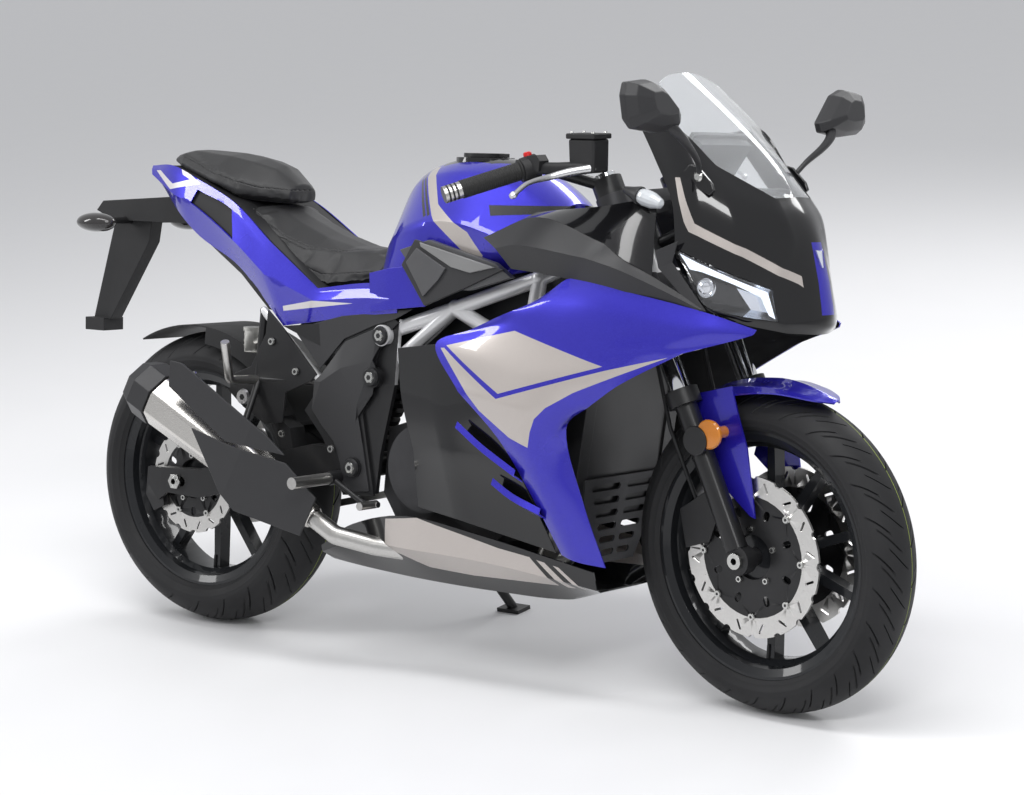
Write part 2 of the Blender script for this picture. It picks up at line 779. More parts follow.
def sheet(grid: Sequence[Sequence[Vector]], towards: Point, wall: float = PANEL_WALL,
          regions: Iterable[tuple] = (), inner: int | None = None,
          holes: Callable[[int, int], bool] | None = None) -> Form:
    """A thin moulding from a grid of points.

    Args:
        grid: Rows of points of its outer side.
        towards: Roughly the way to its inner side.
        wall: Its thickness.
        regions: What paint_region gets for each painted shape.
        inner: Material number of its inner side, if it has its own.
        holes: Says which cells stay open.

    Returns:
        The moulding.
    """
    form = bmesh.new()
    add_grid(form, grid, holes=holes)
    bmesh.ops.remove_doubles(form, verts=form.verts, dist=MERGE)
    for region in regions:
        paint_region(form, *region)
    thicken(form, wall, Vector(towards), inner)
    return form


@dataclass
class Skin:
    """A moulded panel of one side, built from a coarse grid and mirrored to the other."""

    name: str
    rows: Sequence[Sequence[Point]]
    finish: Finish
    hard_rows: tuple[int, ...] = ()
    hard_columns: tuple[int, ...] = ()
    open_cells: tuple[tuple[int, int], ...] = ()
    graphics: tuple[tuple[Finish, Outline], ...] = ()

    def pair(self, machine: Machine, node: str = "") -> None:
        """Build the panel for both sides, for the pair of CAD nodes of this name if there is one."""
        grid = smooth_grid(self.rows, STEPS, self.hard_rows, self.hard_columns)
        finishes = list(dict.fromkeys([self.finish, *(finish for finish, _ in self.graphics)]))
        regions = [(outline, finishes.index(finish)) for finish, outline in self.graphics]
        form = sheet(grid, (0, 1, 0), PANEL_WALL, regions, len(finishes),
                     lambda i, j: (i // STEPS, j // STEPS) in self.open_cells)
        machine.pair(self.name, form, [*finishes, DARK_PLASTIC], node, bevel=(0.9,))


def facet_panel(machine: Machine, name: str, spots: dict[str, Point], facets: Sequence[str], finish: Finish,
                wall: float = PANEL_WALL) -> None:
    """A panel of flat facets, and its mirror image.

    Args:
        machine: The machine.
        name: The panels' name without their side.
        spots: Its corners by letter.
        facets: The letters of each facet.
        finish: Its finish.
        wall: Its thickness.
    """
    form = bmesh.new()
    verts = {label: form.verts.new(spot) for label, spot in spots.items()}
    for facet in facets:
        form.faces.new([verts[label] for label in facet])
    bmesh.ops.triangulate(form, faces=[f for f in form.faces if len(f.verts) > 4])
    thicken(form, wall, Vector((0, 1, 0)))
    machine.pair(name, form, [finish], sharp=12.0, bevel=(0.8, 12.0))


def full_width(rows: Sequence[Sequence[Point]]) -> list[list[Point]]:
    """Rows that end on the middle line, continued to the other side."""
    return [list(row) + [(x, -y, z) for x, y, z in reversed(row[:-1])] for row in rows]


def outwards(form: Form) -> Form:
    """The same closed mesh with its faces turned outwards."""
    bmesh.ops.recalc_face_normals(form, faces=form.faces)
    return form


def join_rings(form: Form, rings: Sequence[Sequence[bmesh.types.BMVert]]) -> None:
    """Add the faces between neighbouring rings. A ring may be a single point."""
    for lower, upper in zip(rings, rings[1:]):
        sides = max(len(lower), len(upper))
        for k in range(sides):
            j = (k + 1) % sides
            corners = [lower[k % len(lower)], lower[j % len(lower)], upper[j % len(upper)],
                       upper[k % len(upper)]]
            form.faces.new(list(dict.fromkeys(corners)))


def prism(outline: Sequence[Flat], y_from: float, y_to: float) -> Form:
    """A flat plate drawn in X and Z, filled between two values of Y."""
    form = bmesh.new()
    near, far = ([form.verts.new((x, y, z)) for x, z in outline] for y in (y_from, y_to))
    form.faces.new(near)
    form.faces.new(list(reversed(far)))
    join_rings(form, [near, far])
    return outwards(form)


def tube_along(points: Sequence[Vector], radius: Callable[[float], float] | float, sides: int = 12,
               steps: int = 6) -> Form:
    """A round tube along a smooth curve, closed at both ends.

    Args:
        points: Points that the tube's middle passes through.
        radius: Its radius, or a function of the share of its length.
        sides: Corners of its section.
        steps: Rings between two points.

    Returns:
        The tube.
    """
    line = through([Vector(p) for p in points], steps)
    form = bmesh.new()
    rings = []
    across = (line[1] - line[0]).normalized().orthogonal().normalized()
    for i, spot in enumerate(line):
        way = (line[min(i + 1, len(line) - 1)] - line[max(i - 1, 0)]).normalized()
        across = (across - way * across.dot(way)).normalized()
        up = way.cross(across)
        r = radius(i / (len(line) - 1)) if callable(radius) else radius
        rings.append([form.verts.new(spot + (across * c + up * s) * r) for c, s in circle(sides)])
    join_rings(form, rings)
    form.faces.new(list(reversed(rings[0])))
    form.faces.new(rings[-1])
    return outwards(form)


def lathe(profile: Sequence[Flat], centre: Point | Vector, way: Point | Vector, sides: int = 32) -> Form:
    """A turned body.

    Args:
        profile: (distance along the axis, radius) from end to end. A radius of 0 closes an end.
        centre: Where distance 0 lies.
        way: The axis.
        sides: Facets round it.

    Returns:
        The body.
    """
    form = bmesh.new()
    axis = Vector(way).normalized()
    across = axis.orthogonal().normalized()
    up = axis.cross(across)
    rings = []
    for along, radius in profile:
        middle = Vector(centre) + axis * along
        spots = [middle + (across * c + up * s) * radius for c,
                 s in circle(sides)] if radius > 0 else [middle]
        rings.append([form.verts.new(spot) for spot in spots])
    join_rings(form, rings)
    return outwards(form)


def merged(*forms: Form) -> Form:
    """One mesh made of several, with their material numbers kept."""
    result = bmesh.new()
    for form in forms:
        mesh = bpy.data.meshes.new("part_of_piece")
        form.to_mesh(mesh)
        form.free()
        result.from_mesh(mesh)
        bpy.data.meshes.remove(mesh)
    return result


# Repeated small parts, by Geometry Nodes


class Scatter:
    """Puts a bolt head, or another turned stamp, on each point of a list."""

    def __init__(self) -> None:
        """Build the node tree."""
        nodes = new_group("bolt_heads", {"Geometry": "Geometry", "Radius": "Float", "Height": "Float",
                                         "Socket": "Float", "Head": "Material", "Recess": "Material"},
                          {"Geometry": "Geometry"}, "GeometryNodeTree")
        given = nodes.add("NodeGroupInput").outputs
        head = nodes.add("GeometryNodeMeshCone", Vertices=20, Radius_Bottom=given["Radius"],
                         Depth=given["Height"],
                         Radius_Top=nodes.math("MULTIPLY", given["Radius"], 0.86)).outputs["Mesh"]
        recess = nodes.add("GeometryNodeMeshCylinder", Vertices=6, Radius=given["Socket"],
                           Depth=given["Height"]).outputs["Mesh"]
        lift = nodes.add("ShaderNodeCombineXYZ", Z=nodes.math("MULTIPLY", given["Height"],
                                                              0.54)).outputs["Vector"]
        raised = nodes.add("GeometryNodeTransform", Geometry=recess, Translation=lift).outputs["Geometry"]
        join = nodes.add("GeometryNodeJoinGeometry")
        for part, paint in ((head, given["Head"]), (raised, given["Recess"])):
            painted = nodes.add("GeometryNodeSetMaterial", Geometry=part, Material=paint).outputs["Geometry"]
            nodes.feed(join.inputs["Geometry"], painted)
        aim = nodes.add("GeometryNodeInputNamedAttribute", {"data_type": "FLOAT_VECTOR"}, Name="aim")
        turn = nodes.add("FunctionNodeAlignRotationToVector", {"axis": "Z"}, Vector=aim.outputs["Attribute"])
        spread = nodes.add("GeometryNodeInstanceOnPoints", Points=given["Geometry"],
                           Instance=join.outputs["Geometry"], Rotation=turn.outputs["Rotation"])
        real = nodes.add("GeometryNodeRealizeInstances", Geometry=spread.outputs["Instances"])
        nodes.add("NodeGroupOutput", Geometry=real.outputs["Geometry"])
        self.tree = nodes.tree
        self.inputs = {item.name: item.identifier for item in self.tree.interface.items_tree
                       if item.in_out == "INPUT"}

    def bolts(self, machine: Machine, name: str, spots: Sequence[tuple[Point, Point]], body: Body,
              radius: float = 5.0, height: float = 3.0, finish: Finish = BOLT, recess: Finish = DARK_PLASTIC,
              share: float = 0.5) -> None:
        """Make one piece of all the bolt heads on a body.

        Args:
            machine: The machine.
            name: The piece's name.
            spots: (place, way it faces) of each head, in upright millimetres.
            body: What they ride on.
            radius: Radius of a head.
            height: How far it stands out, half of it sunk.
            finish: Finish of the heads.
            recess: Finish of their sockets.
            share: Socket's radius as a share of the head's.
        """
        place = machine.place(body)
        turn = place.to_3x3().normalized()
        mesh = bpy.data.meshes.new(name)
        mesh.from_pydata([place @ Vector(p) for p, _ in spots], [], [])
        aims = mesh.attributes.new("aim", "FLOAT_VECTOR", "POINT")
        for item, (_, way) in zip(aims.data, spots):
            item.vector = turn @ Vector(way).normalized()
        holder = new_object(name + "_points", mesh)
        modifier = holder.modifiers.new("heads", "NODES")
        modifier.node_group = self.tree
        for label, value in (("Radius", radius * MM), ("Height", height * MM),
                             ("Socket", radius * share * MM),
                             ("Head", finish.material()), ("Recess", recess.material())):
            modifier[self.inputs[label]] = value
        made = evaluated_mesh(holder, name)
        bpy.data.objects.remove(holder)
        made.shade_smooth()
        made.set_sharp_from_angle(angle=math.radians(35))
        machine.fit(new_object(name, made), body)


def evaluated_mesh(holder: bpy.types.Object, name: str) -> bpy.types.Mesh:
    """A plain mesh of an object with its modifiers applied.

    Args:
        holder: The object.
        name: Name for the mesh.

    Returns:
        The new mesh.
    """
    bpy.context.view_layer.update()
    graph = bpy.context.evaluated_depsgraph_get()
    mesh = bpy.data.meshes.new_from_object(holder.evaluated_get(graph), preserve_all_data_layers=True,
                                           depsgraph=graph)
    mesh.name = name
    return mesh


# CAD nodes kept in shape, with softened edges and better finishes


def from_node(frame: dict, node: str, back: Matrix | None = None) -> Form:
    """A CAD node's mesh with its doubled points merged, moved by a matrix if one is given."""
    form = bmesh.new()
    form.from_mesh(frame["nodes"][node].data)
    bmesh.ops.remove_doubles(form, verts=form.verts, dist=NODE_MERGE)
    if back:
        bmesh.ops.transform(form, matrix=back, verts=form.verts)
    return form


@dataclass
class Section:
    """A part of the machine, with what it takes to build it."""

    machine: Machine
    frame: dict
    scatter: Scatter

    def keep(self, node: str, finishes: Sequence[Finish], bevel: float = 0.8, body: Body = Body.CHASSIS,
             pick: Callable[[Vector], int] | None = None) -> None:
        """Dress a CAD node that keeps its shape: its triangles are merged and its edges rounded.

        Args:
            node: The node's name.
            finishes: One for each material number.
            bevel: Width of the rounded edges in millimetres, or 0.
            body: What it rides on.
            pick: Material number of a face, by its middle.
        """
        form = from_node(self.frame, node)
        bmesh.ops.dissolve_limit(form, angle_limit=math.radians(0.7), verts=form.verts, edges=form.edges)
        back = self.machine.place(body).inverted()
        for face in form.faces:
            face.material_index = pick(back @ face.calc_center_median()) if pick else 0
        rounding = (bevel, KEPT_FOLD) if bevel else ()
        self.machine.piece(node + "_dressed", form, finishes, body, (node,), KEPT_FOLD, rounding, True)


def on_side(spot: Point | Vector, side: int) -> Vector:
    """A point or way given for the right side, or for side 1 its mirror image."""
    x, y, z = spot
    return Vector((x, -side * y, z))


def both(make: Callable[[int], Sequence[Form]]) -> Form:
    """One mesh of what a function makes for the right side, -1, and for the left, 1."""
    return merged(*make(-1), *make(1))


def up_fork(distance: float, y: float) -> Vector:
    """A point distance up the fork from the front axle, y to the left."""
    return FRONT_HUB + RISE * distance + Vector((0, y, 0))


# Wheels


@dataclass
class Tyre:
    """A road tyre with slanted grooves, a coloured tread line and ribbed walls."""

    name: str
    node: str
    hub: Vector
    body: Body
    radius: float
    half: float
    drop: float
    rim_half: float
    pitches: int
    sweep: float = 15.0
    depth: float = 3.4
    rim_lip: float = 231.3

    # share of a pitch where a groove starts, then the lowest and highest share of the half width it covers
    grooves: tuple[tuple[float, float, float], ...] = ((0.02, 0.10, 0.62), (0.30, 0.30, 0.86),
                                                       (0.52, 0.60, 0.95))
    width: float = 0.085

    def crown(self, y: float) -> float:
        """Radius of the crown at a distance from the middle."""
        arc = (self.half ** 2 + self.drop ** 2) / (2 * self.drop)
        return self.radius - arc + math.sqrt(max(arc ** 2 - y ** 2, 0))

    def profile(self) -> list[tuple[float, float, bool]]:
        """(y, radius, whether it is tread) from the left bead over the crown to the right bead."""
        side_r = self.radius - self.drop
        wall = []
        out = self.rim_half + 7.5
        for k in range(1, 13):
            t = k / 12
            y = self.half + (out - self.half) * t ** 1.6
            r = side_r + (self.rim_lip - side_r) * t
            bulge = 2.6 * math.sin(math.pi * t)
            rib = 0.9 if k in (4, 5, 9) else 0.0
            wall.append((y + bulge + rib, r, False))
        steps = 15
        tread = [(self.half * k / steps, self.crown(self.half * k / steps),
                  True) for k in range(-steps, steps + 1)]
        marks = [(self.half * 0.11, True), (self.half * 0.13, True)]
        tread += [(y, self.crown(y), flag) for y, flag in marks]
        tread.sort()
        left = [(-y, r, f) for y, r, f in reversed(wall)]
        inner = [(self.rim_half - 1.5, self.rim_lip), (self.rim_half - 1.5, self.rim_lip - 9)]
        return ([(-y, r, False) for y, r in reversed(inner)] + left + tread + wall
                + [(y, r, False) for y, r in inner])

    def build(self, machine: Machine) -> None:
        """Build the tyre as one mesh whose columns follow the grooves."""
        stations: list[tuple[float, set[int]]] = []
        for pitch in range(self.pitches):
            marks: list[tuple[float, set[int]]] = []
            for side_number, shift in ((-1, 0.0), (1, 0.5)):
                for number, (start, _, _) in enumerate(self.grooves):
                    key = side_number * (number + 1)
                    at = start * 1.0 + shift
                    for offset, bottom in ((0.0, False), (0.22, True), (0.78, True), (1.0, False)):
                        marks.append(((at + offset * self.width) % 1.0, {key} if bottom else set()))
            marks.sort(key=lambda m: m[0])
            stations += [((pitch + share) / self.pitches * 2 * math.pi, keys) for share, keys in marks]
        profile = self.profile()
        form = bmesh.new()
        grid = []
        for angle, keys in stations:
            line = []
            for y, r, tread in profile:
                share = abs(y) / self.half
                lean = math.radians(self.sweep) * min(share, 1.0) ** 1.4
                depth = 0.0
                if tread:
                    side = -1 if y < 0 else 1
                    for number, (_, low, high) in enumerate(self.grooves):
                        if side * (number + 1) in keys and low <= share <= high:
                            depth = self.depth
                a = angle + lean
                line.append(self.hub + Vector(((r - depth) * math.cos(a), y, (r - depth) * math.sin(a))))
            grid.append(line)
        columns = len(profile)
        verts = [[form.verts.new(p) for p in line] for line in grid]
        for i, line in enumerate(verts):
            after = verts[(i + 1) % len(verts)]
            for j in range(columns - 1):
                face = form.faces.new([line[j], line[j + 1], after[j + 1], after[j]])
                middle = (profile[j][0] + profile[j + 1][0]) / 2
                face.material_index = 1 if abs(middle - self.half * 0.12) < self.half * 0.011 else 0
        bmesh.ops.recalc_face_normals(form, faces=form.faces)
        outward = sum((f.normal.dot(f.calc_center_median() - self.hub) for f in form.faces), 0.0)
        if outward < 0:
            bmesh.ops.reverse_faces(form, faces=form.faces)
        machine.piece(self.name, form, [TYRE, TREAD_MARK], self.body, (self.node,), 24.0)


class Wheels(Section):
    """Both wheels: tyres, rims, discs and the rear sprocket."""

    def build(self) -> None:
        """Build the wheels' pieces."""
        Tyre("front_road_tyre", "front_tyre", FRONT_HUB, Body.FRONT_WHEEL, 300, 60, 38, 44.5,
             26).build(self.machine)
        Tyre("rear_road_tyre", "rear_tyre", REAR_HUB, Body.REAR_WHEEL, 312, 80, 48, 57, 22,
             18.0).build(self.machine)
        for name, disc, hub, body, ring, sides, disc_y, reach, bobbins in (
            ("front", "front_discs", FRONT_HUB, Body.FRONT_WHEEL, 113.0, (-1, 1), 66.6, 52.0, 8),
            ("rear", "rear_disc", REAR_HUB, Body.REAR_WHEEL, 82.0, (-1,), 86.6, 50.0, 6),
        ):
            self.keep(f"{name}_rim", (RIM_COAT,), 1.6, body)
            form = from_node(self.frame, disc, self.machine.place(body).inverted())
            paint_region(form, [(hub.x + ring * c, hub.z + ring * s) for c, s in circle(40)], 1)
            self.machine.piece(f"{disc}_ground", form, [DISC_STEEL, BLACK_COAT], body, (disc,), 6.0)
            for label, count, turn, radius, out, look in (
                ("bolts", 5, 0.3, reach, 0.6, (6.5, 5.0)),
                ("bobbins", bobbins, 0.0, ring - 2, 2.4, (7.2, 2.4, BOLT, BLACK_COAT, 0.42)),
            ):
                spots = []
                for side in sides:
                    for a in (2 * math.pi * (k + turn) / count for k in range(count)):
                        spots.append(((hub.x + radius * math.cos(a), side * (disc_y + out),
                                       hub.z + radius * math.sin(a)), (0, side, 0)))
                self.scatter.bolts(self.machine, f"{name}_disc_{label}", spots, body, *look)
            valve = tube_along([hub + Vector(v) for v in ((-3, -14, -206), (-1, -16, -188), (0, -17, -172))],
                               lambda t: 4.2 - 1.4 * t, 10, 4)
            self.machine.piece(f"{name}_valve", valve, [HOSE], body)
        self.keep("rear_sprocket", (STEEL,), 0.4, Body.REAR_WHEEL)
        self.keep("front_axle", (BLACK_COAT, BOLT), 0.8, Body.STEERING, lambda p: 1 if abs(p.y) > 116 else 0)
        self.keep("rear_axle", (BOLT,))


# Body panels


TAIL_ROWS = [
    [(-152, -60, 974), (-60, -94, 976), (30, -114, 950), (150, -128, 903), (262, -143, 828), (403, -156, 741),
     (520, -146, 757), (615, -150, 757)],
    [(-150, -66, 966), (-58, -100, 962), (34, -118, 928), (142, -129, 890), (262, -148, 806),
     (403, -160, 733),
     (520, -155, 748), (615, -158, 748)],
    [(-142, -73, 955), (-38, -113, 915), (18, -123, 900), (160, -146, 828), (262, -160, 762),
     (400, -165, 716),
     (520, -164, 728), (615, -166, 730)],
    [(-126, -64, 942), (-40, -98, 880), (30, -106, 830), (161, -124, 772), (299, -142, 659), (380, -150, 671),
     (500, -158, 690), (611, -160, 703)],
]
FAIRING_ROWS = [
    [(1007, -228, 752), (1066, -215, 795), (1183, -225, 779), (1335, -195, 749), (1427, -150, 718)],
    [(930, -236, 722), (1030, -238, 742), (1180, -243, 735), (1330, -206, 712), (1420, -155, 708)],
    [(843, -225, 687), (959, -240, 698), (1130, -247, 655), (1240, -232, 670), (1310, -210, 672)],
    [(752, -215, 653), (880, -243, 640), (1010, -254, 615), (1120, -250, 610), (1195, -235, 610)],
    [(826, -238, 570), (920, -250, 560), (1000, -254, 550), (1070, -246, 556), (1133, -236, 568)],
    [(921, -235, 488), (970, -242, 480), (1004, -242, 478), (1040, -228, 490), (1063, -215, 516)],
    [(974, -215, 402), (1005, -222, 400), (1030, -220, 395), (1060, -208, 385), (1092, -194, 375)],
    [(1034, -180, 274), (1058, -184, 268), (1082, -183, 264), (1105, -180, 262), (1131, -176, 260)],
]
DUCT_ROWS = [
    [(855, -205, 861), (972, -195, 903), (1145, -225, 861), (1187, -225, 834), (1244, -215, 807),
     (1338, -192, 754)],
    [(895, -222, 843), (962, -238, 852), (1120, -246, 834), (1190, -242, 816), (1252, -222, 790),
     (1337, -196, 751)],
    [(934, -222, 806), (1010, -222, 800), (1066, -214, 792), (1183, -224, 776), (1262, -208.5, 760.5),
     (1336, -194, 746)],
]
TRIM_ROWS = [
    [(938, -150, 911), (1000, -150, 918), (1080, -150, 926), (1162, -150, 940), (1215, -162, 934),
     (1262, -176, 926)],
    [(855, -205, 861), (972, -195, 903), (1145, -225, 861), (1187, -225, 834), (1244, -215, 807),
     (1338, -192, 754)],
]
COWL_ROWS = [
    [(1172, -150, 1066), (1240, -148, 1075), (1316, -122, 1006), (1404, -62, 950), (1412, 0, 952)],
    [(1210, -162, 1014), (1290, -168, 985), (1352, -138, 950), (1427, -66, 915), (1438, 0, 917)],
    [(1258, -178, 940), (1304, -178, 930), (1372, -145, 894), (1442, -62, 866), (1456, 0, 876)],
    [(1276, -190, 858), (1318, -182, 840), (1374, -150, 814), (1430, -106, 790), (1478, 0, 800)],
    [(1312, -192, 800), (1338, -182, 757), (1392, -152, 740), (1444, -104, 731), (1490, 0, 724)],
    [(1318, -188, 790), (1341, -178, 750), (1400, -140, 724), (1452, -84, 710), (1476, 0, 706)],
]
MID_ROWS = [
    [(624, -172, 636), (723, -190, 650), (845, -212, 655)],
    [(640, -178, 540), (740, -200, 545), (900, -226, 540)],
    [(675, -182, 440), (765, -202, 440), (960, -222, 430)],
    [(690, -182, 330), (800, -196, 318), (1020, -178, 276)],
]
SCREEN_ROWS = [
    [(1172, -98, 1156), (1165, -52, 1172), (1168, 0, 1176)],
    [(1243, -146, 1073), (1262, -74, 1084), (1288, 0, 1082)],
    [(1318, -120, 1003), (1350, -62, 1005), (1374, 0, 1003)],
    [(1403, -60, 950), (1409, -30, 950), (1411, 0, 950)],
]
# x of rim and side, x of floor, then height and half width of the rim, the side and the floor
PAN_STATIONS = [
    (400, 400, 218, 132, 205, 128, 186, 90),
    (504, 504, 275, 160, 240, 150, 180, 100),
    (672, 672, 312, 198, 246, 188, 176, 118),
    (850, 850, 292, 190, 240, 182, 174, 118),
    (1025, 1000, 262, 180, 222, 168, 176, 105),
    (1104, 1048, 248, 176, 212, 162, 190, 70),
]

FAIRING_GRAPHICS = (
    (SILVER_GRAPHIC, ((784, 654), (959, 693), (1161, 640), (930, 574))),
    (SILVER_GRAPHIC, ((768, 648), (778, 649), (925, 564), (1166, 633), (1284, 663), (1205, 631), (1100, 588),
                      (1040, 556), (1014, 533), (1003, 508), (996, 478), (952, 493), (878, 538), (826, 590))),
)
TAIL_GRAPHICS = (
    (WHITE_GRAPHIC, ((-126, 964), (-57, 926), (41, 940), (0, 962), (-28, 971), (-20, 958), (6, 948),
                     (-50, 938),
                     (-108, 965))),
    (WHITE_GRAPHIC, ((305, 700), (395, 716), (500, 716), (305, 690))),
)
PAN_SHAPES = (
    ((600, 236), (612, 300), (700, 312), (888, 272), (960, 262), (1010, 210), (806, 205), (700, 210),
     (640, 230)),
    ((975, 258), (993, 255), (1046, 208), (1028, 208)),
    ((1012, 251), (1024, 249), (1074, 208), (1062, 208)),
)
COWL_SWEEP = ((1259, 984), (1270, 984), (1288, 944), (1309, 903), (1389, 860), (1457, 812), (1462, 792),
              (1456, 798), (1384, 846), (1316, 881), (1299, 888), (1288, 905), (1272, 945))
COWL_STRIP = ((-17, 872), (17, 872), (22, 742), (-22, 742))
# material number and outline of what is painted on both sides of the tank
TANK_SHAPES = (
    (1, ((600, 988), (634, 988), (694, 918), (789, 868), (820, 824), (800, 808), (754, 846), (690, 896),
         (650, 936))),
    (2, ((586, 988), (593, 988), (683, 898), (678, 894))),
    (2, ((572, 988), (580, 988), (672, 896), (666, 892))),
    (2, ((812, 920), (950, 921), (955, 908), (826, 900))),
)
TANK_TOP = ((640, -58), (760, -58), (800, -30), (800, 30), (760, 58), (640, 58), (622, 0))
# angle, half width, radius, rise of the ridge and drop of the edge
MUDGUARD_STATIONS = ((64, 9, 323, 2, -2), (69, 40, 320, 5, -3), (79.5, 66, 317, 8, -6),
                     (88.5, 74, 315, 9, -11),
                     (104, 75, 314, 9, -16), (116, 75, 314, 8, -16), (124, 73, 314, 6, -14))
MUDGUARD_FLAP = ((1252, 588), (1350, 612), (1368, 552), (1386, 500), (1404, 374), (1392, 378), (1286, 462),
                 (1298, 500), (1262, 560))
VENT_LINES = (((818, -222, 500), (885, -230, 462), (959, -224, 420)),
              ((901, -216, 399), (950, -218, 374), (1005, -204, 350)))


class Bodywork(Section):
    """The painted and moulded panels."""

    def build(self) -> None:
        """Build the panels, then what is let into them."""
        Skin("tail_cover", TAIL_ROWS, BLUE, (1, 2), (4, 5), ((1, 2),), TAIL_GRAPHICS).pair(self.machine,
                                                                                           "tail_panel")
        Skin("main_fairing", FAIRING_ROWS, BLUE, (2, 4), graphics=FAIRING_GRAPHICS).pair(self.machine,
                                                                                         "side_fairing")
        Skin("duct", DUCT_ROWS, CHARCOAL, (1,), (2,)).pair(self.machine, "duct_cover")
        Skin("cockpit_trim", TRIM_ROWS, GLOSS_BLACK, (), (2, 3), ((0, 4),)).pair(self.machine)
        Skin("mid_cover", MID_ROWS, GLOSS_BLACK, (2,), (1,)).pair(self.machine, "mid_panel")
        for number, line in enumerate(VENT_LINES):
            rows = [[(x, y - 6, z + 12) for x, y, z in line], [(x, y - 12, z) for x, y, z in line],
                    [(x + 8, y + 14, z - 16) for x, y, z in line]]
            Skin(f"vent_blade_{number + 1}", rows, BLUE, (1,)).pair(self.machine)
        self.cowl()
        self.belly()
        self.tank()
        screen = sheet(smooth_grid(full_width(SCREEN_ROWS), STEPS), (-1, 0, -0.3))
        self.machine.piece("clear_windscreen", screen, [SCREEN], replaces=("windscreen",), bevel=(0.7,))
        self.mudguard()
        plate = prism(((10, 906), (47, 926), (136, 895), (164, 826), (100, 850)), -108, -105)
        self.machine.pair("tail_window_plate", plate, [MID_GREY])

    def cowl(self) -> None:
        """The nose cowl with its silver sweep and blue front panel."""
        columns = 2 * len(COWL_ROWS[0]) - 2
        lamps = {(3, j) for j in (0, 1, 2, columns - 3, columns - 2, columns - 1)}
        regions = ((COWL_SWEEP, 1, View.SIDE, lambda v: abs(v.y) > 30),
                   (COWL_STRIP, 2, View.FRONT, lambda v: v.x > 1430))
        form = sheet(smooth_grid(full_width(COWL_ROWS), STEPS, (3, 5), (2, 3, 5, 6)), (-1, 0, 0), PANEL_WALL,
                     regions, 3, lambda i, j: (i // STEPS, j // STEPS) in lamps)
        self.machine.piece("nose_cowl", form, [GLOSS_BLACK, SILVER_GRAPHIC, BLUE, DARK_PLASTIC],
                           replaces=("upper_cowl",), bevel=(0.9,))

    def belly(self) -> None:
        """The belly pan with its silver side and slanted stripes."""
        rows = full_width([[(x, -rim_y, rim_z), (x, -side_y, side_z), (floor_x, -floor_y, floor_z),
                            (floor_x, 0, 0)]
                           for x, floor_x, rim_z, rim_y, side_z, side_y, floor_z, floor_y in PAN_STATIONS])
        rows = [row[:3] + row[4:] for row in rows]
        form = sheet(smooth_grid(rows, STEPS, (), (1, 2, 3, 4)), (0, 0, 1), PANEL_WALL,
                     [(shape, 1) for shape in PAN_SHAPES])
        self.machine.piece("belly_cover", form, [GLOSS_BLACK, SILVER_GRAPHIC], replaces=("belly_pan",),
                           bevel=(0.9,))

    def tank(self) -> None:
        """The fuel tank with its side graphics, shoulder slots and top cover."""
        form = from_node(self.frame, "fuel_tank", self.machine.upright.inverted())
        bmesh.ops.dissolve_limit(form, angle_limit=math.radians(0.4), verts=form.verts, edges=form.edges)
        bmesh.ops.triangulate(form, faces=form.faces)
        for sign in (-1, 1):
            for index, shape in TANK_SHAPES:
                paint_region(form, shape, index, View.SIDE, lambda v, sign=sign: v.y * sign > 20)
        paint_region(form, TANK_TOP, 3, View.TOP, lambda v: v.z > 940)
        self.machine.piece("fuel_tank_shell", form, [BLUE, SILVER_GRAPHIC, BLACK_GRAPHIC, GLOSS_BLACK],
                           replaces=("fuel_tank",), sharp=40.0, bevel=(2.0, 40.0, 3))

    def mudguard(self) -> None:
        """The front mudguard: a ridged arc with a pointed nose and flaps down to the fork."""
        rows = []
        for angle, half, radius, ridge, edge in MUDGUARD_STATIONS:
            a = math.radians(angle)
            lifts = {1.0: edge, 0.76: -1, 0.3: 3, 0.0: ridge}
            rows.append([(FRONT_HUB.x + (radius + lifts[abs(share)]) * math.cos(a), share * half,
                          FRONT_HUB.z + (radius + lifts[abs(share)]) * math.sin(a))
                         for share in (-1.0, -0.76, -0.3, 0.0, 0.3, 0.76, 1.0)])
        arc = sheet(smooth_grid(rows, STEPS, (), (1, 3, 5)), (0, 0, -1))
        form = merged(arc, both(lambda side: [prism(MUDGUARD_FLAP, side * 73, side * 76.5)]))
        self.machine.piece("mudguard", form, [BLUE], Body.STEERING, ("front_mudguard",), bevel=(0.9,))


# Lamps and mirrors


LENS_ROWS = [
    [(1278, -191, 856), (1318, -183, 838), (1374, -151, 812), (1429, -108, 788)],
    [(1313, -193, 801), (1338, -183, 758), (1392, -153, 741), (1443, -106, 732)],
]
GUIDE_ROWS = [
    [(1283, -186, 849), (1320, -178, 832), (1374, -148, 806), (1423, -110, 783), (1438, -106, 736)],
    [(1306, -187, 822), (1326, -177, 817), (1378, -147, 795), (1412, -116, 774), (1428, -112, 742)],
]
NOSE_LAMP_ROWS = [
    [(1419, -42, 868), (1452, -20, 860), (1466, 0, 856)],
    [(1441, -36, 834), (1460, -16, 828), (1470, 0, 826)],
]


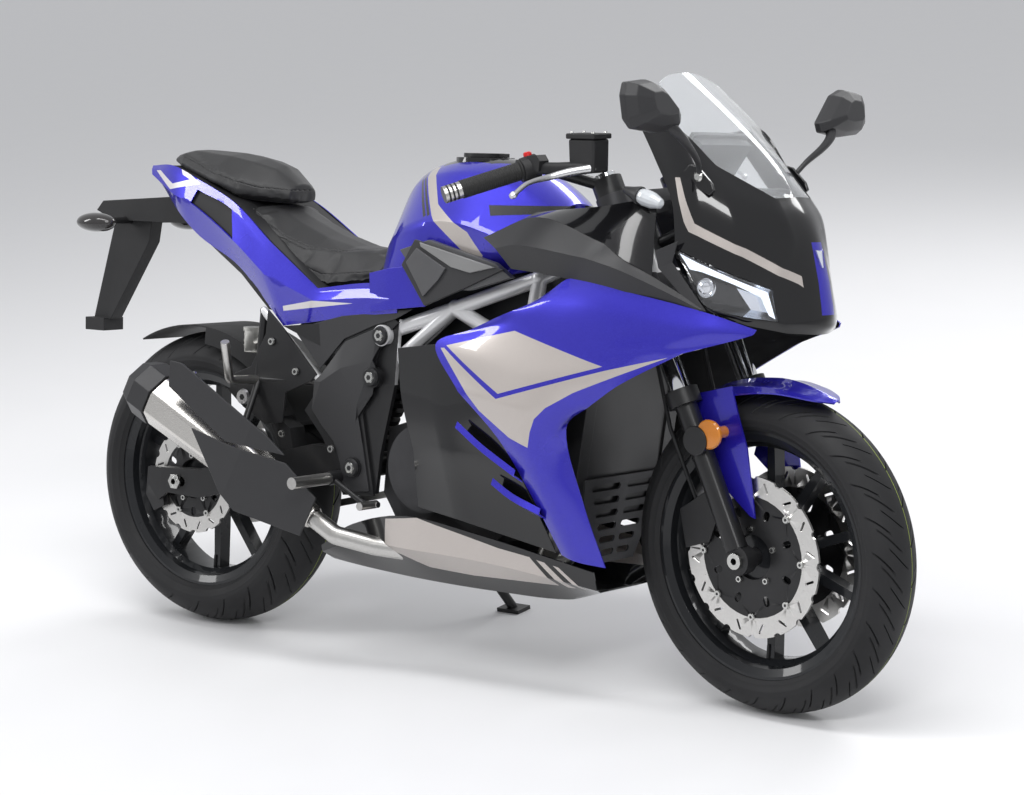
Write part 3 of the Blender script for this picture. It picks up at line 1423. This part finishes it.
class Lamps(Section):
    """Headlamps, nose lamp, tail lamp and signals."""

    def build(self) -> None:
        """Build every lamp."""
        self.headlamps()
        for label, finish, lift in (("lens", LENS, 5.0), ("plate", REFLECTOR, 1.5)):
            grid = [[Vector(p) + Vector((lift, 0, 0)) for p in row] for row in full_width(NOSE_LAMP_ROWS)]
            self.machine.piece(f"nose_lamp_{label}", sheet(grid, (-1, 0, 0), 1.5), [finish], sharp=12.0)
        spot, way = (1183, -172, 950), (0.95, -0.04, -0.28)
        lens = [(0, 0), (0, 13), (14, 16), (34, 15), (52, 9), (58, 0)]
        shell = [(-34, 0), (-34, 6), (-16, 11), (-1, 16.5), (4, 16.8), (4, 13.5), (-2, 12), (-2, 0)]
        for label, profile, sides, finish, sharp in (("lens", lens, 14, PALE_LENS, 12.0),
                                                     ("shell", shell, 20, CHARCOAL, 32.0)):
            self.machine.pair(f"front_signal_{label}", lambda side, profile=profile, sides=sides: lathe(
                profile, on_side(spot, side), on_side(way, side), sides), [finish], sharp=sharp)
        self.keep("rear_lamps", (DARK_PLASTIC, RED_LENS, SMOKE),
                  pick=lambda p: 1 if p.z > 930 else (0 if abs(p.y) < 100 else 2))

    def headlamps(self) -> None:
        """A clear lens over a dark bowl with a light guide and a projector, on each side."""
        towards, inward = (-1, 1, 0), Vector((-0.75, 0.62, -0.05))
        bowl_rows = [[Vector(top).lerp(Vector(low), share) + inward * sink for top, low in zip(*LENS_ROWS)]
                     for share, sink in ((0.0, 5.0), (0.25, 30.0), (0.75, 34.0), (1.0, 5.0))]
        lens = sheet(smooth_grid(LENS_ROWS, STEPS), towards, 2.0)
        bowl = sheet(smooth_grid(bowl_rows, 4, (1, 2)), towards, 1.5,
                     [(((1338, 840), (1460, 840), (1460, 700), (1404, 722)), 1)])
        guide = sheet(smooth_grid(GUIDE_ROWS, 4, (), (1, 3)), towards, 2.5)
        projector = lathe([(0, 0), (3, 9), (1, 13), (5, 15), (8, 18), (0, 20), (-16, 20), (-16, 0)],
                          (1322, -160, 788), (0.8, -0.58, 0.05), 28)
        self.machine.piece("headlamp_lens_left", mirrored(lens), [LENS])
        self.machine.piece("headlamp_lens_right", lens, [LENS], replaces=("headlamps",))
        self.machine.pair("headlamp_bowl", bowl, [GLOSS_BLACK, REFLECTOR])
        self.machine.pair("headlamp_light_guide", guide, [LED])
        self.machine.pair("headlamp_projector", projector, [CHROME])
        facet_panel(self.machine, "lamp_surround", {
            "a": (1243, -207, 852), "b": (1288, -201, 871), "c": (1276, -199, 833), "d": (1346, -192, 748),
            "e": (1322, -199, 752), "f": (1252, -208, 822),
        }, ("abcf", "fcde"), CHARCOAL)


GRIP_IN = Vector((979, -230, 1000))
GRIP_OUT = Vector((905, -350, 961))
BAR_WAY = (GRIP_OUT - GRIP_IN).normalized()
BAR_RADIUS = 11.2
# across and up from the middle of the right mirror
MIRROR_OUTLINE = ((-56, -24), (-38, -40), (34, -46), (98, -38), (104, -20), (44, 34), (8, 46), (-50, 40),
                  (-60, 18))
MIRROR_FOOT = ((1274, 994), (1286, 1008), (1304, 1004), (1334, 976), (1340, 962), (1330, 953), (1310, 962),
               (1282, 980))
LEVER_BEND = ((1098, -192, 997), (1066, -224, 989), (1039, -250, 979), (1026, -300, 967), (1021, -336, 946))


def along(distance: float, side: int = -1) -> Vector:
    """A point on a bar's middle line, outwards from the grip's inner end."""
    return on_side(GRIP_IN + BAR_WAY * distance, side)


class Cockpit(Section):
    """Handlebars, grips, controls, instruments and mirrors."""

    def build(self) -> None:
        """Build the cockpit's pieces."""
        self.keep("handlebars", (BLACK_COAT, STEEL), 1.0, Body.STEERING,
                  lambda p: 1 if (Vector((p.x, -abs(p.y), p.z)) - GRIP_IN).dot(BAR_WAY) > 120.2 else 0)
        self.keep("fork", (BLACK_COAT, CHROME, CAST), 1.0, Body.STEERING, self.fork_part)
        self.keep("instrument_cluster", (DARK_PLASTIC,), 2.0)
        self.keep("front_calipers", (BLACK_COAT,), 1.4, Body.STEERING)
        self.keep("brake_hoses", (HOSE,), 0.0, Body.STEERING)
        self.mirrors()
        self.controls()
        spot = self.machine.unturned((1320, -130, 521))
        disc = [(-50, 0), (-50, 11), (-4, 12), (-4, 27), (1, 27.5), (4, 25), (5, 18), (5.4, 0)]
        self.machine.pair("round_reflector", lambda side: lathe(disc, on_side(spot, side), (0, side, 0)),
                          [AMBER],
                          body=Body.STEERING)
        self.grips()

    @staticmethod
    def fork_part(spot: Vector) -> int:
        """Which finish a face of the fork takes: slider, chromed tube or yoke."""
        height = (spot - FRONT_HUB).dot(RISE)
        near_leg = min((spot - up_fork(height, s * FORK_SPREAD)).length for s in (-1, 1)) < 21.5
        if height > 331 and near_leg:
            return 1
        return 2 if height > 480 else 0

    def mirrors(self) -> None:
        """A mirror on a tapered stem with a screwed foot, on each side."""

        def shell(side: int, *rings: tuple[float, float, float, float]) -> Form:
            """A closed form through outlines, each with its share, step ahead, step inwards and step up."""
            form = bmesh.new()
            add_grid(form, [[on_side((1296 + ahead - 0.1 * v, -348 + u * share - out, 1108 + v * share + up),
                                     side)
                             for u, v in (*MIRROR_OUTLINE, MIRROR_OUTLINE[0])] for share, ahead, out,
                             up in rings])
            bmesh.ops.remove_doubles(form, verts=form.verts, dist=MERGE)
            bmesh.ops.holes_fill(form, edges=form.edges, sides=14)
            return outwards(form)

        body = ((0.93, -1, 0, 0), (1.0, 2, 0, 0), (1.0, 13, 0, 0), (0.82, 30, -2, 3), (0.44, 46, -10, 6))
        glass = ((0.9, -2.4, 0, 0), (0.9, -0.8, 0, 0))
        stem = ((1310, -286, 1084), (1324, -268, 1064), (1326, -236, 1042), (1318, -190, 1014),
                (1308, -166, 990))
        bolt = [(-2, 0), (-2, 9), (3, 9), (6, 6), (6, 0)]
        pair = self.machine.pair
        pair("mirror_shell", lambda side: shell(side, *body), [CHARCOAL], "mirror", sharp=12.0,
             bevel=(2.4, 12.0, 3))
        pair("mirror_glass", lambda side: shell(side, *glass), [MIRROR])
        pair("mirror_stem", lambda side: tube_along([on_side(spot, side) for spot in stem],
                                                    lambda t: 11.5 - 6.5 * min(t * 1.25, 1.0), 14),
                                                    [CHARCOAL])
        pair("mirror_foot", lambda side: prism(MIRROR_FOOT, side * 160, side * 168), [GLOSS_BLACK],
             bevel=(2.0,))
        pair("mirror_bolt", lambda side: lathe(bolt, (1308, side * 168, 986), (0, side, 0), 20), [BOLT])

    def controls(self) -> None:
        """Switch pods, levers with ball ends and the front brake's fluid box."""
        steering = Body.STEERING
        pod = [(-34, BAR_RADIUS), (-34, 21), (-32, 23), (-20, 23), (-19, 22.2), (-18, 23), (-3, 22.6),
               (-1, 21),
               (-1, BAR_RADIUS), (-34, BAR_RADIUS)]

        def bend(side: int) -> list[Vector]:
            """The points along a lever."""
            return [on_side(self.machine.unturned(spot), side) for spot in LEVER_BEND]

        def pods(side: int) -> list[Form]:
            """A switch pod with its box and the lever's arm."""
            start, reach = along(-14, side), bend(side)[0]
            box = prism(((-15, -13), (15, -13), (18, 6), (10, 17), (-14, 15)), -13, 13)
            bmesh.ops.translate(box, vec=along(-17, side) + Vector((18, 0, 8)), verts=box.verts)
            arm = [start + Vector((8, 0, 0)), (start + reach) / 2, reach]
            return [lathe(pod, along(0, side), on_side(BAR_WAY, side), 24), box,
                    tube_along(arm, lambda t: 12 - 2 * t, 12)]

        def levers(side: int) -> list[Form]:
            """A lever and the ball at its end."""
            return [tube_along(bend(side), lambda t: 9.5 - 5.0 * min(t * 1.4, 1.0), 14),
                    lathe([(-8, 0), (-6.5, 5), (0, 7.5), (6.5, 5), (8, 0)], bend(side)[-1],
                          (-0.2, side, -0.4), 16)]

        self.machine.piece("switch_pods", both(pods), [DARK_PLASTIC], steering, ("controls",), bevel=(1.0,))
        self.machine.piece("brake_and_clutch_levers", both(levers), [CAST_BRIGHT], steering)
        base = self.machine.unturned((1076, -180, 1000))
        x, y, z = base
        tank = prism(((x - 30, z - 12), (x + 30, z - 12), (x + 32, z + 50), (x - 32, z + 50)), y - 22, y + 22)
        self.machine.piece("brake_fluid_box", tank, [DARK_PLASTIC], steering, bevel=(5.0, 30.0, 3))
        lid = prism(((x - 35, z + 50), (x + 35, z + 50), (x + 35, z + 60), (x - 35, z + 60)), y - 25, y + 25)
        self.machine.piece("brake_fluid_lid", lid, [DARK_PLASTIC], steering, bevel=(2.5, 30.0, 3))
        stay = tube_along([base - Vector((6, 0, 0)), (base + along(-17)) / 2, along(-17)], 9.0, 12)
        self.machine.piece("brake_fluid_stay", stay, [BLACK_COAT], steering)
        screws = [((x + dx, y + dy, z + 61), (0, 0, 1)) for dx in (-26, 26) for dy in (-17, 17)]
        self.scatter.bolts(self.machine, "fluid_lid_screws", screws, steering, 4.0, 2.4)

    def grips(self) -> None:
        """Ribbed rubber grips with a flange, the grooves of the silver bar ends and the red switch."""
        profile: list[Flat] = [(0, BAR_RADIUS), (0, 21.5), (3.2, 22), (4.2, 19), (5, 17.2)]
        for at in range(8, 116, 4):
            profile += [(at, 16.9), (at + 0.7, 17.5), (at + 2.1, 17.5), (at + 2.8, 16.9)]
        profile += [(117, 17.2), (119.6, 17.6), (120, 16.8), (120, BAR_RADIUS)]
        grooves = [[(at, 16.0), (at, 16.35), (at + 3.4, 16.35), (at + 3.4, 16.0)] for at in (128, 136, 144)]
        for name, profiles, finish, replaces, sharp in (
            ("ribbed_grips", [profile], GRIP, ("grips",), 40.0),
            ("bar_end_grooves", grooves, DARK_PLASTIC, (), 32.0),
        ):
            form = both(lambda side, profiles=profiles: [lathe(p, along(0, side), on_side(BAR_WAY, side), 28)
                                                         for p in profiles])
            self.machine.piece(name, form, [finish], Body.STEERING, replaces, sharp)
        switch = lathe([(0, 0), (0, 8), (6, 8), (8, 6.4), (8, 0)], along(-18) + Vector((-6, 0, 21)),
                       (-0.25, 0, 1), 20)
        self.machine.piece("engine_stop_switch", switch, [RED_KEY], Body.STEERING)


# Seats

SEAT_VOXEL = 5.0
SEAT_SWELL = 3.5
SEAM_DEPTH = 1.6
CLOTH_FRAMES = 20


@dataclass
class Seat:
    """A padded seat, swollen by a short cloth simulation and split into coloured covers."""

    name: str
    node: str
    finishes: tuple[Finish, ...]
    regions: tuple[tuple[int, View, tuple[Flat, ...]], ...]
    sections: tuple[tuple[float, ...], ...]
    cap: float = 7.0

    def build(self, machine: Machine) -> None:
        form = self.core()
        bmesh.ops.transform(form, matrix=machine.upright, verts=form.verts)
        pad = new_object(self.name, new_mesh(self.name + "_core", form))
        remesh = pad.modifiers.new("skin", "REMESH")
        remesh.mode = "VOXEL"
        remesh.voxel_size = SEAT_VOXEL * MM
        skin = evaluated_mesh(pad, self.name)
        pad.modifiers.clear()
        pad.data = skin
        self.shrink(skin, SEAT_SWELL * MM)
        self.swell(pad)
        self.paint(machine, pad)
        machine.fit(pad, Body.CHASSIS, (self.node,))

    def core(self) -> Form:
        """The foam under the cover, lofted through the sections."""
        rings = []
        for x, top, edge, half_top, middle, half_middle, low, half_low in self.sections:
            half = [(0.0, top), (0.5 * half_top, top + (edge - top) * 0.16), (half_top, edge),
                    (half_middle, middle),
                    (half_low, low), (0.5 * half_low, low - 4)]
            ring = [Vector((x, -y, z)) for y, z in half] + [Vector((x, 0, low - 4))]
            ring += [Vector((x, y, z)) for y, z in reversed(half[1:])]
            rings.append(ring)
        form = bmesh.new()
        add_grid(form, rings, closed=True)
        for ring in (rings[0], rings[-1]):
            form.faces.new([min(form.verts, key=lambda v, p=p: (v.co - p).length) for p in ring])
        return outwards(form)

    @staticmethod
    def shrink(mesh: bpy.types.Mesh, by: float) -> None:
        """Pull a mesh in along its normals."""
        moved = [v.co - v.normal * by for v in mesh.vertices]
        for vert, spot in zip(mesh.vertices, moved):
            vert.co = spot

    def swell(self, pad: bpy.types.Object) -> None:
        """Inflate the pad with cloth pressure and cap how far each point moves."""
        start = [v.co.copy() for v in pad.data.vertices]
        cloth = pad.modifiers.new("swell", "CLOTH")
        cloth.settings.use_pressure = True
        cloth.settings.uniform_pressure_force = 4.0
        cloth.settings.effector_weights.gravity = 0.0
        cloth.settings.tension_stiffness = 25.0
        cloth.settings.bending_stiffness = 4.0
        cloth.collision_settings.use_self_collision = False
        scene = bpy.context.scene
        for number in range(1, CLOTH_FRAMES + 1):
            scene.frame_set(number)
        moved = evaluated_mesh(pad, self.name)
        pad.modifiers.clear()
        for vert, old, new in zip(pad.data.vertices, start, moved.vertices):
            step = new.co - old
            limit = self.cap * MM
            vert.co = old + (step if step.length <= limit else step * (limit / step.length))
        scene.frame_set(1)
        bpy.data.meshes.remove(moved)

    def paint(self, machine: Machine, pad: bpy.types.Object) -> None:
        """Smooth the cover once, then cut its seams and colours into it."""
        smooth = pad.modifiers.new("cover", "SUBSURF")
        smooth.levels = smooth.render_levels = 1
        mesh = evaluated_mesh(pad, self.name)
        pad.modifiers.clear()
        pad.data = mesh
        form = bmesh.new()
        form.from_mesh(mesh)
        bmesh.ops.transform(form, matrix=machine.upright.inverted(), verts=form.verts)
        for face in form.faces:
            face.material_index = 0
        for index, view, outline in self.regions:
            paint_region(form, outline, index, view)
        form.normal_update()
        seams = {v for e in form.edges if len({f.material_index for f in e.link_faces}) > 1 for v in e.verts}
        for vert in seams:
            vert.co -= vert.normal * SEAM_DEPTH
        bmesh.ops.transform(form, matrix=machine.upright, verts=form.verts)
        form.to_mesh(mesh)
        form.free()
        mesh.materials.clear()
        for finish in self.finishes:
            mesh.materials.append(finish.material())
        mesh.shade_smooth()


SEATS = (
    Seat("rider_seat_cover", "rider_seat", (SEAT_BLACK, SEAT_GREY, SEAT_BLACK), (
        (1, View.SIDE, ((150, 930), (164, 907), (189, 878), (233, 842), (314, 816), (404, 812), (430, 838),
                        (490, 850), (514, 812), (500, 777), (378, 767), (259, 804), (186, 846), (158, 898))),
        (2, View.TOP, ((140, -90), (230, -95), (320, -91), (400, -72), (440, -44), (452, 0), (440, 44),
                       (400, 72),
                       (320, 91), (230, 95), (140, 90))),
    ), (
        (168, 914, 906, 92, 896, 117, 882, 125), (195, 897, 875, 96, 843, 124, 810, 131),
        (260, 868, 833, 99, 803, 127, 782, 135), (330, 840, 812, 96, 782, 124, 762, 136),
        (400, 820, 807, 84, 764, 120, 742, 133), (455, 815, 812, 64, 768, 108, 750, 122),
        (498, 829, 818, 52, 776, 88, 760, 100), (520, 842, 824, 44, 788, 70, 772, 82),
    )),
    Seat("pillion_seat_cover", "pillion_seat", (SEAT_BLACK, SEAT_MID), (
        (1, View.SIDE, ((-120, 1012), (-59, 1000), (62, 962), (167, 936), (240, 930), (240, 1030),
                        (-120, 1030))),
    ), (
        (-98, 1003, 999, 44, 990, 58, 980, 56), (-50, 1009, 1001, 74, 984, 90, 969, 88),
        (62, 1004, 964, 104, 950, 112, 938, 110), (125, 994, 946, 98, 930, 108, 914, 104),
        (178, 979, 937, 74, 922, 84, 910, 80), (230, 946, 932, 38, 920, 44, 906, 42),
    ), 5.0),
)


# Running gear, engine and exhaust


HEEL_SPOTS = {
    "a": (418, -160, 570), "b": (479, -160, 639), "c": (565, -160, 673), "d": (573, -160, 642),
    "e": (560, -161, 594),
    "g": (553, -160, 539), "h": (516, -160, 492), "i": (528, -160, 437), "j": (546, -160, 345),
    "k": (399, -160, 554),
    "l": (394, -160, 497), "m": (420, -160, 467), "n": (452, -160, 437), "o": (470, -160, 394),
    "p": (480, -160, 338),
    "q": (472, -167, 585), "r": (555, -166, 607), "s": (421, -166, 555), "t": (521, -170, 519),
    "u": (512, -164, 481),
}
HEEL_FACETS = ("abq", "bcrq", "cdr", "aqs", "qrt", "qts", "reg", "rgt", "kas", "ksl", "stul", "tgh", "thu",
               "lum",
               "unm", "uin", "hiu", "nio", "ijo", "jpo")
REST_PLATE = ((262, 690), (298, 660), (395, 566), (380, 552), (312, 524), (304, 462), (256, 455), (196, 486),
              (156, 516), (166, 552), (217, 571), (256, 640))
AIR_BOX = ((290, 652), (330, 606), (402, 552), (520, 556), (640, 640), (860, 640), (960, 700), (930, 790),
           (760, 830), (640, 792), (560, 736), (330, 690))


class Chassis(Section):
    """Frame, swingarm, engine, radiator, exhaust and the small brackets."""

    def build(self) -> None:
        """Build the chassis pieces."""
        for node, finish, bevel in (
            ("engine", CAST, 1.2), ("radiator", BLACK_COAT, 1.5), ("radiator_guard", CAST, 0.8),
            ("under_tray", DARK_PLASTIC, 1.0), ("plate_hanger", DARK_PLASTIC, 1.5),
            ("tank_panels", MID_GREY, 2.0),
            ("exhaust_pipe", STEEL, 0.0), ("muffler", CAN_STEEL, 5.0), ("muffler_guard", CHARCOAL, 1.5),
            ("rear_shock", BLACK_COAT, 0.8), ("swingarm", BLACK_COAT, 2.0), ("chain", STEEL, 0.0),
            ("rear_hugger", DARK_PLASTIC, 1.0),
        ):
            self.keep(node, (finish,), bevel)
        self.keep("side_stand", (BLACK_COAT,), 1.0, Body.STAND)
        self.keep("fuel_lid", (BLACK_COAT,), 1.0, Body.LID)
        self.keep("main_frame", (SILVER_COAT, BLACK_COAT), pick=self.frame_part)
        self.keep("rear_brake", (BLACK_COAT, CUP), 1.2, pick=lambda p: 1 if p.z > 500 else 0)
        for side in Side:
            self.keep(f"footrest_{side.word}", (BLACK_COAT, STEEL), 1.2,
                      pick=lambda p: 1 if abs(p.y) > 192 else 0)
            self.keep(f"pillion_rest_{side.word}", (SILVER_COAT, BLACK_COAT, STEEL), 1.0, pick=self.rest_part)
        self.covers()
        self.bolts()

    @staticmethod
    def frame_part(spot: Vector) -> int:
        """Tubes are silver, the pivot plates, stays and stand lug black."""
        if spot.z < 640 and abs(spot.y) > 136 and spot.x < 620:
            return 1
        return 1 if spot.z < 360 or abs(spot.y) < 20 or spot.x > 1120 else 0

    @staticmethod
    def rest_part(spot: Vector) -> int:
        """The rail is silver, the bracket black and the peg bare metal."""
        if abs(spot.y) > 156:
            return 2 if spot.z > 530 else 1
        low, high = Vector((402, 0, 552)), Vector((240, 0, 686))
        flat = Vector((spot.x, 0, spot.z)) - low
        way = (high - low).normalized()
        return 0 if (flat - way * flat.dot(way)).length < 11 and spot.x > 238 else 1

    def covers(self) -> None:
        """Faceted heel covers, the side covers over them, tank trims, rest brackets and the air box behind."""
        facet_panel(self.machine, "heel_cover", HEEL_SPOTS, HEEL_FACETS, CHARCOAL, 4.0)
        facet_panel(self.machine, "upper_side_cover", {
            "a": (336, -152, 655), "b": (469, -160, 689), "c": (649, -158, 713), "d": (607, -160, 691),
            "e": (556, -161, 676), "f": (477, -161, 644), "g": (411, -156, 580),
        }, ("abfg", "bef", "bcde"), CHARCOAL)
        facet_panel(self.machine, "tank_foot", {
            "a": (536, -156, 778), "b": (545, -163, 701), "c": (614, -168, 711), "d": (694, -174, 721),
            "e": (638, -178, 795), "f": (596, -172, 790),
        }, ("abcf", "cdef"), BLUE)
        self.machine.pair("rest_bracket", prism(REST_PLATE, -148, -143), [BLACK_COAT], bevel=(1.2,))
        for name, outline, out, finish in (
            ("base", ((636, 799), (668, 850), (885, 801), (800, 764), (694, 722)), 180.0, CHARCOAL),
            ("strip", ((682, 845), (866, 804), (806, 791), (760, 800), (686, 836)), 183.5, LIGHT_GREY),
            ("wedge", ((650, 805), (676, 834), (748, 797), (731, 774), (694, 740)), 184.5, MID_GREY),
        ):
            self.machine.pair(f"tank_trim_{name}", prism(outline, -out, -172), [finish], bevel=(1.8,))
        self.machine.piece("air_box", prism(AIR_BOX, -92, 92), [DARK_PLASTIC], bevel=(6.0, 30.0, 3))

    def bolts(self) -> None:
        """Caps over the frame's main bolts, and the screws of brackets, rests and muffler."""
        caps = ((575, 166.5, 657), (552, 166.5, 573), (505, 166.5, 389))
        screws = ((276, 151, 626), (342, 151, 569), (320, 166, 442), (451, 165, 422))
        for name, spots, look in (
            ("frame_bolt_rings", caps, (19.0, 5.0, BLACK_COAT, BOLT, 0.62)),
            ("frame_bolt_heads", [(x, y + 3.0, z) for x, y, z in caps], (11.0, 4.0)),
            ("bracket_bolts", screws, (8.0, 4.0)),
            ("rest_bolts", ((200, 150, 507),), (17.0, 6.0, CAST_BRIGHT, DARK_PLASTIC, 0.4)),
        ):
            heads = [((x, side * y, z), (0, side, 0)) for side in (-1, 1) for x, y, z in spots]
            self.scatter.bolts(self.machine, name, heads, Body.CHASSIS, *look)
        heads = [(spot, (0, -1, 0)) for spot in ((147, -240, 556), (199, -243, 401), (290, -222, 437),
                                                 (364, -218, 296))]
        self.scatter.bolts(self.machine, "muffler_screws", heads, Body.CHASSIS, 6.0, 4.0)


# Studio


@dataclass(frozen=True)
class Softbox:
    """A rectangular studio light, in metres."""

    name: str
    spot: Point
    target: Point
    size: Flat
    watts: float

    def build(self) -> None:
        """Hang the light and point it at its target."""
        lamp = bpy.data.lights.new(self.name, "AREA")
        lamp.shape = "RECTANGLE"
        lamp.size, lamp.size_y = self.size
        lamp.energy = self.watts
        holder = new_object(self.name, lamp)
        holder.location = self.spot
        holder.rotation_euler = (Vector(self.target) - Vector(self.spot)).to_track_quat("-Z", "Y").to_euler()


@dataclass
class Studio:
    """Camera, lights, floor and background."""

    eye: Vector = field(default_factory=lambda: Vector((3865.3, -4144.4, 1049.9)))
    yaw: float = 126.695
    pitch: float = -5.647
    roll: float = -1.159
    focal_pixels: float = 2632.65
    frame_pixels: float = 1024.0
    sensor: float = 36.0
    boxes: tuple[Softbox, ...] = (
        Softbox("key_strip", (2.9, -3.0, 3.9), (0.2, 0.0, 0.5), (2.6, 0.7), 84.0),
        Softbox("top_strip", (0.2, -1.0, 4.4), (0.1, 0.0, 0.5), (4.6, 0.8), 92.0),
        Softbox("tail_strip", (-4.0, -2.6, 3.0), (0.0, 0.0, 0.6), (0.7, 2.4), 62.0),
        Softbox("far_strip", (0.6, 4.2, 3.2), (0.0, 0.0, 0.5), (3.4, 0.9), 78.0),
    )

    def build(self, machine: Machine) -> None:
        """Set the studio up."""
        self.camera(machine)
        for box in self.boxes:
            box.build()
        self.background()
        self.floor()
        bpy.context.scene.view_settings.view_transform = "Standard"

    def camera(self, machine: Machine) -> None:
        """Place the camera at the photograph's view, carried along with the leaning machine."""
        yaw, pitch, roll = (math.radians(a) for a in (self.yaw, self.pitch, self.roll))
        ahead = Vector((math.cos(yaw) * math.cos(pitch), math.sin(yaw) * math.cos(pitch), math.sin(pitch)))
        right = ahead.cross(Vector((0, 0, 1))).normalized()
        up = right.cross(ahead)
        spin = Matrix.Rotation(roll, 3, ahead)
        turn = Matrix((spin @ right, spin @ up, -ahead)).transposed()
        lens = bpy.data.cameras.new("view")
        lens.sensor_width = self.sensor
        lens.lens = self.focal_pixels / self.frame_pixels * self.sensor
        lens.clip_end = 100.0
        holder = new_object("view", lens)
        body = machine.upright
        holder.matrix_world = Matrix.Translation(body @ self.eye) @ (
            body.to_3x3().normalized() @ turn).to_4x4()
        bpy.context.scene.camera = holder

    @staticmethod
    def background() -> None:
        """A pale world for the camera and glass. Other rays get half of it, mixed with a dim one."""
        world = bpy.data.worlds.new("studio")
        bpy.context.scene.world = world
        world.use_nodes = True
        world.node_tree.nodes.clear()
        nodes = Nodes(world.node_tree)
        share = nodes.math("MAXIMUM", nodes.rays("Is Camera Ray", "Is Transmission Ray"), 0.5)
        dim, pale = (nodes.add("ShaderNodeBackground", Color=colour, Strength=strength).outputs["Background"]
                     for colour, strength in (((0.80, 0.84, 0.90, 1), 0.30), ((0.93, 0.93, 0.94, 1), 1.0)))
        mixed = nodes.add("ShaderNodeMixShader", None, share, dim, pale).outputs["Shader"]
        nodes.add("ShaderNodeOutputWorld", Surface=mixed)

    @staticmethod
    def floor() -> None:
        """A wide floor, paler for the camera, glass and reflections than for the light that it throws back."""
        sketch = Sketch("studio_floor")
        sketch.grain(60.0, 0.02, 0.55, 0.65)
        seen = sketch.rays("Is Camera Ray", "Is Transmission Ray", "Is Glossy Ray")
        sketch.set(Base_Color=sketch.mix(seen, (0.42, 0.42, 0.43, 1), (0.82, 0.82, 0.83, 1)))
        size = 30.0
        mesh = bpy.data.meshes.new("studio_floor")
        mesh.from_pydata([(-size, -size, 0), (size, -size, 0), (size, size, 0), (-size, size, 0)], [],
                         [(0, 1, 2, 3)])
        mesh.materials.append(sketch.material)
        new_object("studio_floor", mesh)


def main() -> None:
    """Load the frame, dress it piece by piece and light it."""
    logging.basicConfig(level=logging.INFO, format="%(message)s")
    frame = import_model()
    machine = Machine.from_frame(frame)
    Studio().build(machine)
    scatter = Scatter()
    for section in (Wheels, Bodywork, Lamps, Cockpit, Chassis):
        section(machine, frame, scatter).build()
    for seat in SEATS:
        seat.build(machine)
    LOG.info("%d pieces", machine.count)


if __name__ == "__main__":
    main()
